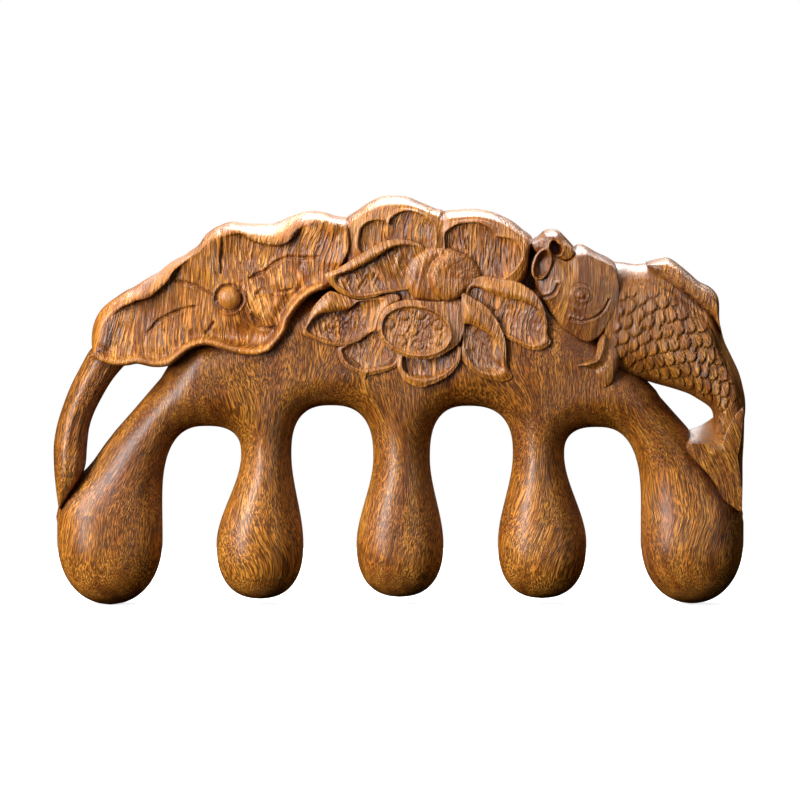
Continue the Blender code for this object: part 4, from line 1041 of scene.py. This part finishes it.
# The seed pod, carved in relief: a cup whose round mouth faces out, with a narrow rim round a
# sunken face and nine seeds in it. A seed has its place and how far it stands up.
POD_OUTLINE = [
    (-4.0, 54.2), (-3.0, 56.3), (-1.1, 57.4), (1.5, 58.0), (4.5, 57.8), (7.5, 57.6),
    (10.4, 58.3), (12.1, 57.4), (12.4, 55.5), (12.1, 52.5), (11.1, 49.9), (9.2, 48.4),
    (6.8, 47.1), (3.8, 46.9), (0.8, 47.8), (-1.7, 49.1), (-3.6, 51.2),
]
POD_MIDDLE = (3.0, 52.2)
POD_HALF_WIDTH = 6.9
POD_HALF_HEIGHT = 4.85
POD_TILT = np.radians(-10)
POD_RIM_DEPTH = 8.7
SEEDS = [
    (-1.9, 53.3, 1), (0.8, 54.9, 0.85), (4.0, 55.1, 0.7), (7.2, 53.1, 0.75), (0.4, 50.2, 0.8),
    (3.4, 49.3, 0.7), (7.2, 50.2, 0.5), (2.6, 52.1, 0.55), (5.3, 51.7, 0.4),
]
SEED_RADIUS = 0.82
POD_RAYS, POD_RINGS = 360, 55

angles = all_round(POD_RAYS)
reach, = ray_lengths(POD_OUTLINE, POD_MIDDLE, angles)
mouth = 1 / np.hypot(np.cos(angles - POD_TILT) / POD_HALF_WIDTH,
                     np.sin(angles - POD_TILT) / POD_HALF_HEIGHT)
share = outwards(POD_RINGS)
radii = share * (mouth - 0.68)
places = rayed(POD_MIDDLE, angles, radii)
depths = POD_RIM_DEPTH - 0.5 + 0.1 * share ** 4 + 0.0 * radii
stipple = gouge_marks(places[..., 0], places[..., 1], 0.1, 0.5, 0.9, 71)
depths = depths + 0.34 * (stipple + 0.5) * (1 - share ** 8)
for seed_x, seed_z, height in SEEDS:
    away = np.hypot(places[..., 0] - seed_x, places[..., 1] - seed_z)
    ring = 0.22 * height * near(away - 1.02, 0.2)
    bead = 0.42 * height * np.sqrt(np.maximum(1 - (away / SEED_RADIUS) ** 2, 0))
    smooth = height * (away < SEED_RADIUS)
    depths = depths + smooth * (POD_RIM_DEPTH - 0.65 - depths) + bead - ring
lip_radii = mouth + np.array([-0.6, -0.53, -0.42, -0.26, -0.1, 0.02])[:, None]
lip_rise = np.array([-0.3, -0.1, 0.02, 0.08, 0.02, -0.12])[:, None]
lip_depths = POD_RIM_DEPTH + lip_rise + 0 * lip_radii
reach = np.maximum(reach, mouth + 0.45)
side = outwards(9)
side_radii = lip_radii[-1] + side * (reach - 0.25 - lip_radii[-1])
side_drop = np.minimum(0.45 * (reach - mouth), 1.35)
side_depths = POD_RIM_DEPTH - 0.12 - side_drop * side ** 0.8
points, faces = raised_on_seat(POD_MIDDLE, angles, np.concatenate([radii, lip_radii, side_radii]),
                               np.concatenate([depths, lip_depths, side_depths]))
add_pair("seed_pod", points, faces, cut_wood, 0.5)

# The carp's body: a thick curved fish cut through the same board, its back to the upper right
# and its belly over the open space. Rows of overlapping scales are cut into its side.
CARP_BACK = [
    (38.8, 64.6), (41.4, 64.6), (44.1, 64.2), (46.7, 64.4), (49.7, 64.6), (52.9, 62.2),
    (56.1, 59.2), (58.8, 56.5), (60.1, 53.3), (61.0, 49.9), (62.4, 46.9), (63.7, 44.1),
    (64.5, 41.3), (65.0, 38.4), (64.9, 35.6), (64.2, 33.0), (62.7, 30.9),
]
CARP_BELLY = [
    (36.9, 49.5), (38.4, 45.9), (40.1, 43.6), (42.6, 43.1), (45.2, 42.6), (47.9, 41.8),
    (50.5, 41.1), (52.8, 40.4), (54.6, 39.7), (56.3, 38.7), (57.7, 37.8), (58.6, 36.9),
    (59.0, 35.7), (59.0, 34.4), (58.8, 32.9), (59.0, 31.6), (59.7, 30.5),
]
CARP_HALF_DEPTH = [
    7.2, 7.25, 7.35, 7.5, 7.7, 7.8, 7.9, 7.9, 7.9, 7.8, 7.7, 7.6, 7.5, 7.4, 7.2, 6.6, 5.6,
]
SCALE_LENGTH = 4.0
SCALE_WIDTH = 3.0
SCALE_REACH = 2.7
SCALE_SLOPE = 0.2
SCALE_RELIEF = 1.15
CARP_FULLNESS = 2.7
CARP_ROWS, CARP_COLUMNS = 240, 120


def strip_between(one_side, other_side, half_depth, fullness, rows, columns, relief):
    """A closed thick strip: rows across from one side to the other, each bulging to its half
    depth as a superellipse on both faces. Relief takes the distance along and across in
    millimetres, and the place across from -1 to 1."""
    runs = curve_through(np.hstack([one_side, other_side, np.array(half_depth)[:, None]]), rows)
    middle = (runs[:, :2] + runs[:, 2:4]) / 2
    half = (runs[:, 2:4] - runs[:, :2]) / 2
    steps = np.linalg.norm(np.diff(middle, axis=0), axis=1)
    along = np.concatenate([[0], np.cumsum(steps)])[:, None]
    turn = (np.arange(2 * columns) + 0.5) * np.pi / columns
    across = np.cos(turn)
    out = np.sin(turn)
    place = np.sign(across) * np.abs(across) ** (2 / fullness)
    bulge = np.abs(out) ** (2 / fullness)
    width = np.linalg.norm(half, axis=1)[:, None]
    flat = middle[:, None] + place[:, None] * half[:, None]
    raised = relief(along + 0 * place, place * width, place + 0 * along)
    depth = (runs[:, 4:5] + raised) * bulge * np.sign(out)
    rings = at_depth(flat, depth)
    ends = [(middle[n, 0], 0.0, middle[n, 1]) for n in (0, -1)]
    return closed_rings(ends[0], rings, ends[1])


def carp_relief(along, across, place):
    """Overlapping scales: each rises toward its free edge at the tail side, and the scale nearer
    the head lies on top. They fade out at the back, at the belly and toward the tail."""
    top = np.zeros_like(along) - 1.0
    row = np.round(along / (SCALE_LENGTH / 2))
    for step in range(-3, 2):
        line = row + step
        shift = (line % 2) * SCALE_WIDTH / 2
        nearest = np.round((across - shift) / SCALE_WIDTH) * SCALE_WIDTH + shift
        ahead = along - line * SCALE_LENGTH / 2
        aside = across - nearest
        inside = (ahead / SCALE_REACH) ** 2 + (aside / (SCALE_WIDTH * 0.56)) ** 2 < 1
        top = np.where(inside, np.maximum(top, SCALE_SLOPE * ahead - 0.03 * aside ** 2), top)
    top = np.maximum(top, -0.3)
    share = eased(place, -0.62, -0.42) * (1 - eased(place, 0.84, 0.95))
    share = share * eased(along, 2.5, 5.0) * (1 - eased(along, 30.0, 34.0))
    marks = gouge_marks(along, across, 0.35, 0.9, 4.0, 91)
    line = -0.25 * near(place + 0.66, 0.05) * eased(along, 3.0, 6.0)
    scales = SCALE_RELIEF * share * (top - 0.1)
    return scales + 0.12 * (marks + 0.5) + line * (1 - eased(along, 24, 30))


# The carp is the same wood painted darker: painted shade standing in for the lesser light that
# falls on the fish.
carp_wood_painted_darker = oiled_wood("scaled_wood_painted_darker", tone=0.84, cuts=0.35)
points, faces = strip_between(CARP_BACK, CARP_BELLY, CARP_HALF_DEPTH, CARP_FULLNESS, CARP_ROWS,
                              CARP_COLUMNS, carp_relief)
add_wood("carp_body_carving", points, faces, ["carp_body"], carp_wood_painted_darker, 0.7)

# The carp's dorsal fin: a ridge laid over its back, cut through the board, with shallow grooves
# between its rays.
DORSAL_OUTER = [
    (46.3, 64.4), (47.5, 64.8), (49.0, 65.2), (50.3, 65.4), (51.6, 64.8), (53.3, 63.5),
    (54.8, 62.2), (56.3, 60.9), (58.0, 60.1), (59.3, 59.0), (59.9, 57.5), (59.9, 54.4),
    (60.3, 51.8),
]
DORSAL_INNER = [
    (46.3, 64.4), (47.1, 63.6), (48.0, 62.5), (49.4, 61.4), (50.9, 60.2), (52.6, 59.1),
    (54.3, 58.2), (55.8, 57.0), (57.1, 55.9), (58.2, 54.8), (59.0, 53.8), (59.7, 52.7),
    (60.3, 51.6),
]
DORSAL_HALF_DEPTH = [5.6, 6.4, 6.9, 7.2, 7.5, 7.7, 7.8, 7.9, 7.9, 7.9, 7.8, 7.5, 6.9]
DORSAL_FULLNESS = 3.0
DORSAL_ROWS, DORSAL_COLUMNS = 150, 60


def dorsal_relief(along, across, place):
    """Grooves along the fin and gouge marks across it."""
    groove = -0.3 * near(place - 0.3, 0.07) * eased(along, 2.0, 5.0)
    marks = gouge_marks(along, across, 0.6, 0.9, 3.0, 95)
    return groove * (1 - eased(along, 12.0, 15.0)) + 0.16 * (marks + 0.5)


points, faces = strip_between(DORSAL_OUTER, DORSAL_INNER, DORSAL_HALF_DEPTH, DORSAL_FULLNESS,
                              DORSAL_ROWS, DORSAL_COLUMNS, dorsal_relief)
add_wood("carp_dorsal_fin_carving", points, faces, ["carp_dorsal_fin"], carp_wood_painted_darker, 0.8)

# The carp's head: a rounded disc cut through the board, with a groove round its eye, and gill
# and smile lines cut into the cheek. Each point of its edge has its place, the breadth of the
# rounding, and the depth at the rim.
HEAD_EDGE = [
    (25.6, 58.4, 1.1, 6.7), (25.1, 60.7, 1.1, 6.7), (25.1, 63.3, 1.1, 6.7),
    (25.2, 65.6, 1.3, 6.9), (26.4, 67.1, 1.6, 6.9), (27.9, 67.3, 1.5, 6.9), (29.6, 66.3, 1.2, 7),
    (31.3, 66.0, 1.4, 7.1), (32.8, 67.6, 2.4, 7.3), (33.7, 68.0, 3, 7.3), (35.0, 67.6, 1.8, 6.9),
    (36.9, 66.5, 1.2, 6.7), (39.2, 65.4, 1.1, 6.8), (40.7, 64.1, 0.9, 7),
    (41.3, 61.4, 0.5, 7.25), (41.4, 58.8, 0.5, 7.25), (40.9, 56.2, 0.5, 7.25),
    (39.6, 53.9, 0.5, 7.25), (38.4, 51.8, 0.6, 7.2), (37.3, 50.5, 0.7, 7.2),
    (35.4, 49.6, 0.7, 7.2), (33.5, 50.1, 0.8, 7.1), (31.8, 51.1, 0.9, 7), (30.1, 52.2, 1, 6.9),
    (28.8, 53.7, 1.1, 6.8), (27.7, 55.0, 1.1, 6.7), (26.6, 56.7, 1.1, 6.7),
]
HEAD_MIDDLE = (33.9, 58.9)
HEAD_HEIGHT = 8.45
HEAD_FULLNESS = 2.1
EYE_MIDDLE = (33.9, 58.9)
EYE_GROOVE_RADIUS = 2.15
GILL_LINE = [
    (32.0, 54.4), (33.2, 54.0), (34.5, 54.0), (36.4, 54.6), (38.1, 55.9), (39.2, 58.0),
]
SMILE_LINE = [
    (25.6, 58.2), (27.3, 58.4), (28.8, 59.2), (29.6, 60.8),
]
CHEEK_LINES = [
    [(32.0, 56.3), (32.4, 55.1)],
    [(32.8, 56.1), (33.2, 54.8)],
    [(33.7, 55.7), (33.9, 54.6)],
]


def through_disc(edge, middle, height, relief, fullness=2.5, columns=340, rows=45):
    """A piece cut through the board: a domed face with relief on both sides, and a rounding at
    its edge whose breadth and depth the edge's own columns give."""
    angles = all_round(columns)
    reach, band, rim_depth = ray_lengths(edge, middle, angles)
    rim = reach - band
    share = outwards(rows)
    places = rayed(middle, angles, share * rim)
    depths = rim_depth + (height - rim_depth) * (1 - share ** 2)
    depths = depths + relief(places[..., 0], places[..., 1]) * (1 - share ** 14)
    crown = crown_rings(places[-1], rayed(middle, angles, reach), depths[-1], fullness, 12)
    return through_board(middle, float(depths[0].mean()), at_depth(places, depths), crown)


def head_relief(x, z):
    """The groove round the eye, the gill line, the smile with its lip, and fine gouge marks."""
    away = np.hypot(x - EYE_MIDDLE[0], z - EYE_MIDDLE[1])
    total = -0.14 * near(away - EYE_GROOVE_RADIUS, 0.2)
    gill = offset_from(curve_through(GILL_LINE, 40), x, z)
    smile = offset_from(curve_through(SMILE_LINE, 30), x, z)
    total = total - 0.28 * near(gill, 0.18) + 0.08 * near(gill - 0.45, 0.3)
    total = total - 0.42 * near(smile, 0.2) + 0.2 * near(smile - 0.5, 0.28)
    for line in CHEEK_LINES:
        total = total - 0.22 * near(offset_from(line, x, z), 0.18)
    marks = gouge_marks(x, z, -0.5, 0.8, 3.0, 99)
    rough = 0.07 + 0.09 * eased(-z, -57.0, -54.0)
    return total + rough * (marks + 0.5) * eased(away, 2.2, 3.0)


points, faces = through_disc(HEAD_EDGE, HEAD_MIDDLE, HEAD_HEIGHT, head_relief, HEAD_FULLNESS)
add_wood("carp_head_carving", points, faces, ["carp_head"], carp_wood_painted_darker, 0.3)

# The carp's eye on each side: an eyeball with a raised ring about it, cut in relief with a
# small round gouge.
EYE_RADIUS = 1.95
EYEBALL_RADIUS = 0.95
EYE_DEPTH = 8.12
EYE_SEAT_DEPTH = 7.0
EYE_RING_RADIUS = 1.45
EYE_RAYS, EYE_RINGS = 120, 43
angles = all_round(EYE_RAYS)
radii = np.linspace(0, EYE_RADIUS - 0.15, EYE_RINGS + 1)[1:, None] + 0 * angles
ball = 0.6 * np.sqrt(np.maximum(1 - (radii / EYEBALL_RADIUS) ** 2, 0))
ring = 0.4 * near(radii - EYE_RING_RADIUS, 0.27)
depths = EYE_DEPTH + np.where(radii < EYEBALL_RADIUS, ball, ring)
points, faces = raised_on_seat(EYE_MIDDLE, angles, radii, depths, EYE_SEAT_DEPTH)
add_pair("carp_eye", points, faces, carp_wood_painted_darker, 0.0)

# The carp's mouth on each side: a round lip seen three quarters on, carved in relief about a
# scooped bowl.
MOUTH_MIDDLE = (26.6, 64.6)
MOUTH_HALF_SIZE = (1.75, 3.1)
MOUTH_TILT = -0.3
MOUTH_DEPTH = 7.9
MOUTH_SEAT_DEPTH = 5.0
MOUTH_RAYS, MOUTH_RINGS = 160, 29
angles = all_round(MOUTH_RAYS)
reach = 1 / np.hypot(np.cos(angles - MOUTH_TILT) / MOUTH_HALF_SIZE[0],
                     np.sin(angles - MOUTH_TILT) / MOUTH_HALF_SIZE[1])
share = outwards(MOUTH_RINGS)
bowl = share * (reach - 0.5)
lip = reach + np.array([-0.45, -0.36, -0.25, -0.14])[:, None]
bowl_depths = MOUTH_DEPTH - 1.3 + 0.9 * share ** 3 + 0.0 * bowl
lip_depths = MOUTH_DEPTH + np.array([-0.12, 0.08, 0.12, 0.02])[:, None] + 0 * lip
points, faces = raised_on_seat(MOUTH_MIDDLE, angles, np.concatenate([bowl, lip]),
                               np.concatenate([bowl_depths, lip_depths]), MOUTH_SEAT_DEPTH)
add_pair("carp_mouth", points, faces, carp_wood_painted_darker, 0.0)

# The carp's barbel: a curled lobe above the mouth, cut through the board, with a deep round
# recess in each face.
BARBEL_EDGE = [
    (24.3, 68.2, 1, 6.4), (25.2, 69.0, 1.2, 6.6), (26.2, 69.7, 1.4, 6.8), (27.1, 70.5, 1.6, 6.9),
    (28.4, 70.8, 1.8, 7), (29.8, 70.5, 1.8, 7), (31.3, 69.1, 1.5, 7.1), (32.6, 67.6, 1, 7.1),
    (33.2, 66.5, 0.8, 7), (32.0, 65.2, 0.7, 6.9), (30.1, 65.0, 0.7, 6.8), (28.1, 65.4, 0.7, 6.7),
    (26.6, 66.1, 0.8, 6.6), (24.9, 66.9, 0.9, 6.4),
]
BARBEL_MIDDLE = (29.1, 67.5)
BARBEL_HEIGHT = 7.2
BARBEL_RAYS, BARBEL_RINGS = 200, 39
RECESS_DEPTH = 2.2
RECESS_EDGE = [
    (28.1, 68.7), (29.0, 69.3), (30.0, 68.7), (30.5, 67.6), (30.3, 66.4), (29.0, 66.1),
    (27.9, 67.0),
]


def barbel_relief(x, z):
    """The recess, with steep sides and a raised edge."""
    outline = curve_through(RECESS_EDGE, 60, closed=True)
    away = offset_from(np.concatenate([outline, outline[:1]]), x, z)
    recess = np.where(within(outline, x, z), RECESS_DEPTH * (near(away, 0.45) - 1), 0)
    return recess + 0.15 * near(away - 0.1, 0.25)


points, faces = through_disc(BARBEL_EDGE, BARBEL_MIDDLE, BARBEL_HEIGHT, barbel_relief,
                             columns=BARBEL_RAYS, rows=BARBEL_RINGS)
add_wood("carp_barbel_carving", points, faces, ["carp_barbel"], carp_wood_painted_darker, 0.3)

# The carp's tail fin: a fan that spreads down over the end tooth, cut through the board. Its
# top slopes back to the open space.
TAIL_EDGE = [
    (53.9, 32.4, 3.4, 7.7), (54.6, 33.0, 4, 7.6), (56.0, 33.5, 4.6, 7.6), (57.5, 34.3, 5, 7.6),
    (58.8, 35.2, 5, 7.6), (60.3, 36.4, 4.6, 7.6), (62.2, 37.9, 3.6, 7.5), (63.7, 39.0, 2.6, 7.5),
    (64.9, 38.6, 1.6, 7.5), (64.9, 35.6, 1.4, 7.5), (64.8, 31.1, 1.3, 7.5),
    (64.6, 27.3, 1.3, 7.5), (64.6, 23.0, 1.2, 7.4), (64.5, 19.8, 0.8, 7.2), (64.2, 17.7, 0.5, 7),
    (62.9, 18.3, 0.5, 7.2), (60.7, 20.0, 0.5, 7.4), (59.2, 22.6, 0.5, 7.5),
    (57.5, 24.9, 0.5, 7.6), (55.6, 26.9, 0.5, 7.6), (53.5, 29.4, 0.6, 7.5), (53.3, 31.1, 1, 7.5),
]
TAIL_MIDDLE = (61.0, 28.6)
TAIL_HEIGHT = 7.8
TAIL_FULLNESS = 1.15
FAN_POINT = (66.5, 48.0)


def tail_relief(x, z):
    """Long shallow grooves that fan out down the fin."""
    turn = np.arctan2(x - FAN_POINT[0], FAN_POINT[1] - z)
    away = np.hypot(x - FAN_POINT[0], z - FAN_POINT[1])
    return 0.2 * (gouge_marks(13 * turn, away, 0.0, 1.3, 9.0, 103) + 0.5)


points, faces = through_disc(TAIL_EDGE, TAIL_MIDDLE, TAIL_HEIGHT, tail_relief, TAIL_FULLNESS)
add_wood("carp_tail_fin_carving", points, faces, ["carp_tail_fin"], carp_wood_painted_darker, 0.8)

# The carp's pectoral fin on each side: a small fin with a sharp ridge down it, standing out from
# the body under the gill, with a thorn-like tip to the left.
PECTORAL_OUTLINE = [
    (33.0, 45.5), (33.9, 46.0), (35.2, 46.5), (36.4, 47.2), (36.9, 48.5), (37.1, 50.0),
    (38.2, 51.6), (39.4, 50.8), (40.5, 49.3), (41.3, 47.4), (41.1, 45.5), (40.5, 43.6),
    (39.8, 42.1), (38.2, 41.0), (37.5, 42.1), (36.5, 43.8), (35.6, 44.8), (34.3, 45.2),
]
PECTORAL_MIDDLE = (38.6, 46.5)
PECTORAL_EDGE, PECTORAL_HEIGHT = 6.8, 7.7
PECTORAL_FULLNESS = 2.0
PECTORAL_RIDGE = [
    (33.3, 45.5), (35.4, 45.9), (37.1, 46.7), (37.9, 48.5), (38.2, 50.8),
]


def pectoral_relief(x, z, share):
    """A bright ridge from the thorn up to the gill, with a hollow beside it."""
    away = offset_from(curve_through(PECTORAL_RIDGE, 40), x, z)
    marks = gouge_marks(x, z, -0.3, 0.8, 3.0, 107)
    return 0.5 * near(away, 0.5) - 0.25 * near(away - 1.4, 0.6) + 0.1 * marks


points, faces = domed_plate(PECTORAL_OUTLINE, PECTORAL_MIDDLE, PECTORAL_EDGE, PECTORAL_HEIGHT,
                            PECTORAL_FULLNESS, pectoral_relief)
add_pair("carp_pectoral_fin", points, faces, carp_wood_painted_darker, 0.5)

# The table the comb is photographed on: a plain white sheet that shines a little by itself, so
# that the comb has almost no shadow. The comb stands on its two end teeth.
TABLE_HALF_WIDTH = 0.5
TABLE_FRONT, TABLE_BACK = -0.6, 0.12
PAPER_WHITE, PAPER_GLOW = 0.9, 0.75
corners = [(-TABLE_HALF_WIDTH, TABLE_FRONT, 0), (TABLE_HALF_WIDTH, TABLE_FRONT, 0),
           (TABLE_HALF_WIDTH, TABLE_BACK, 0), (-TABLE_HALF_WIDTH, TABLE_BACK, 0)]
floor_mesh = bpy.data.meshes.new("table")
floor_mesh.from_pydata(corners, [], [(0, 1, 2, 3)])
floor = bpy.data.objects.new("table", floor_mesh)
bpy.context.scene.collection.objects.link(floor)
paper = bpy.data.materials.new("white_paper")
paper.use_nodes = True
for socket, value in (("Base Color", (PAPER_WHITE, PAPER_WHITE, PAPER_WHITE, 1)),
                      ("Roughness", 0.9), ("Emission Color", (1, 1, 1, 1)),
                      ("Emission Strength", PAPER_GLOW)):
    paper.node_tree.nodes["Principled BSDF"].inputs[socket].default_value = value
floor_mesh.materials.append(paper)
floor.visible_diffuse = False
floor.visible_glossy = False

# The studio: a glare from above and behind that whitens only what shines upwards on the crown,
# a soft light overhead, a tall one on the left for the sheen on the teeth, and weak fills from
# the right, the front and behind.
COMB_MIDDLE = (0.0, 0.0, 0.040)


def soft_light(name, place, size, power, aim=COMB_MIDDLE):
    """A rectangular soft light at a place in metres, facing a point, unseen by the camera."""
    data = bpy.data.lights.new(name, "AREA")
    data.shape = "RECTANGLE"
    data.size, data.size_y = size
    data.energy = power
    light = bpy.data.objects.new(name, data)
    bpy.context.scene.collection.objects.link(light)
    facing = np.array(aim, float) - np.array(place, float)
    yaw = np.arctan2(facing[1], facing[0]) - np.pi / 2
    pitch = np.arctan2(np.hypot(facing[0], facing[1]), -facing[2])
    light.location = place
    light.rotation_euler = (pitch, 0, yaw)
    light.visible_camera = False
    return light


crown_glare = soft_light("crown_glare", (0.0, 0.40, 0.66), (0.44, 0.62), 13.0, (0.0, 0.0, 0.05))
crown_glare.visible_diffuse = False
soft_light("overhead", (-0.05, 0.10, 0.60), (0.60, 0.50), 5.0)
soft_light("key_left", (-0.74, -0.62, 0.33), (0.42, 1.00), 19.0)
soft_light("strip_right", (0.66, -0.70, 0.25), (0.16, 0.90), 0.7)
soft_light("front_top", (-0.25, -0.80, 0.85), (1.00, 0.40), 0.6)
back_fill = soft_light("back_fill", (0.5, 1.2, 0.4), (1.2, 0.9), 5.0)
back_fill.visible_glossy = False
soft_light("front_fill", (0.4, -1.6, 0.2), (2.0, 1.6), 0.9)

world = bpy.data.worlds.new("studio")
bpy.context.scene.world = world
world.use_nodes = True
world.node_tree.nodes["Background"].inputs[0].default_value = (1, 1, 1, 1)
world.node_tree.nodes["Background"].inputs[1].default_value = 1.0
world.cycles_visibility.diffuse = False
world.cycles_visibility.glossy = False
bpy.context.scene.view_settings.view_transform = "Standard"

# The camera: a long lens a few degrees above the comb, as in the photograph, with the comb's
# middle height in the middle of the picture.
VIEW_WIDTH = 0.1507
CAMERA_DISTANCE = 1.5
CAMERA_RISE = np.radians(4.0)
VIEW_MIDDLE = 0.0386
SENSOR_WIDTH = 36.0
camera_data = bpy.data.cameras.new("camera")
camera = bpy.data.objects.new("camera", camera_data)
bpy.context.scene.collection.objects.link(camera)
camera_data.sensor_width = SENSOR_WIDTH
camera_data.lens = SENSOR_WIDTH * CAMERA_DISTANCE / VIEW_WIDTH
camera_data.clip_start = 0.01
camera_data.clip_end = 20.0
camera.location = (0.0, -CAMERA_DISTANCE * np.cos(CAMERA_RISE),
                   VIEW_MIDDLE + CAMERA_DISTANCE * np.sin(CAMERA_RISE))
camera.rotation_euler = (np.pi / 2 - CAMERA_RISE, 0, 0)
bpy.context.scene.camera = camera
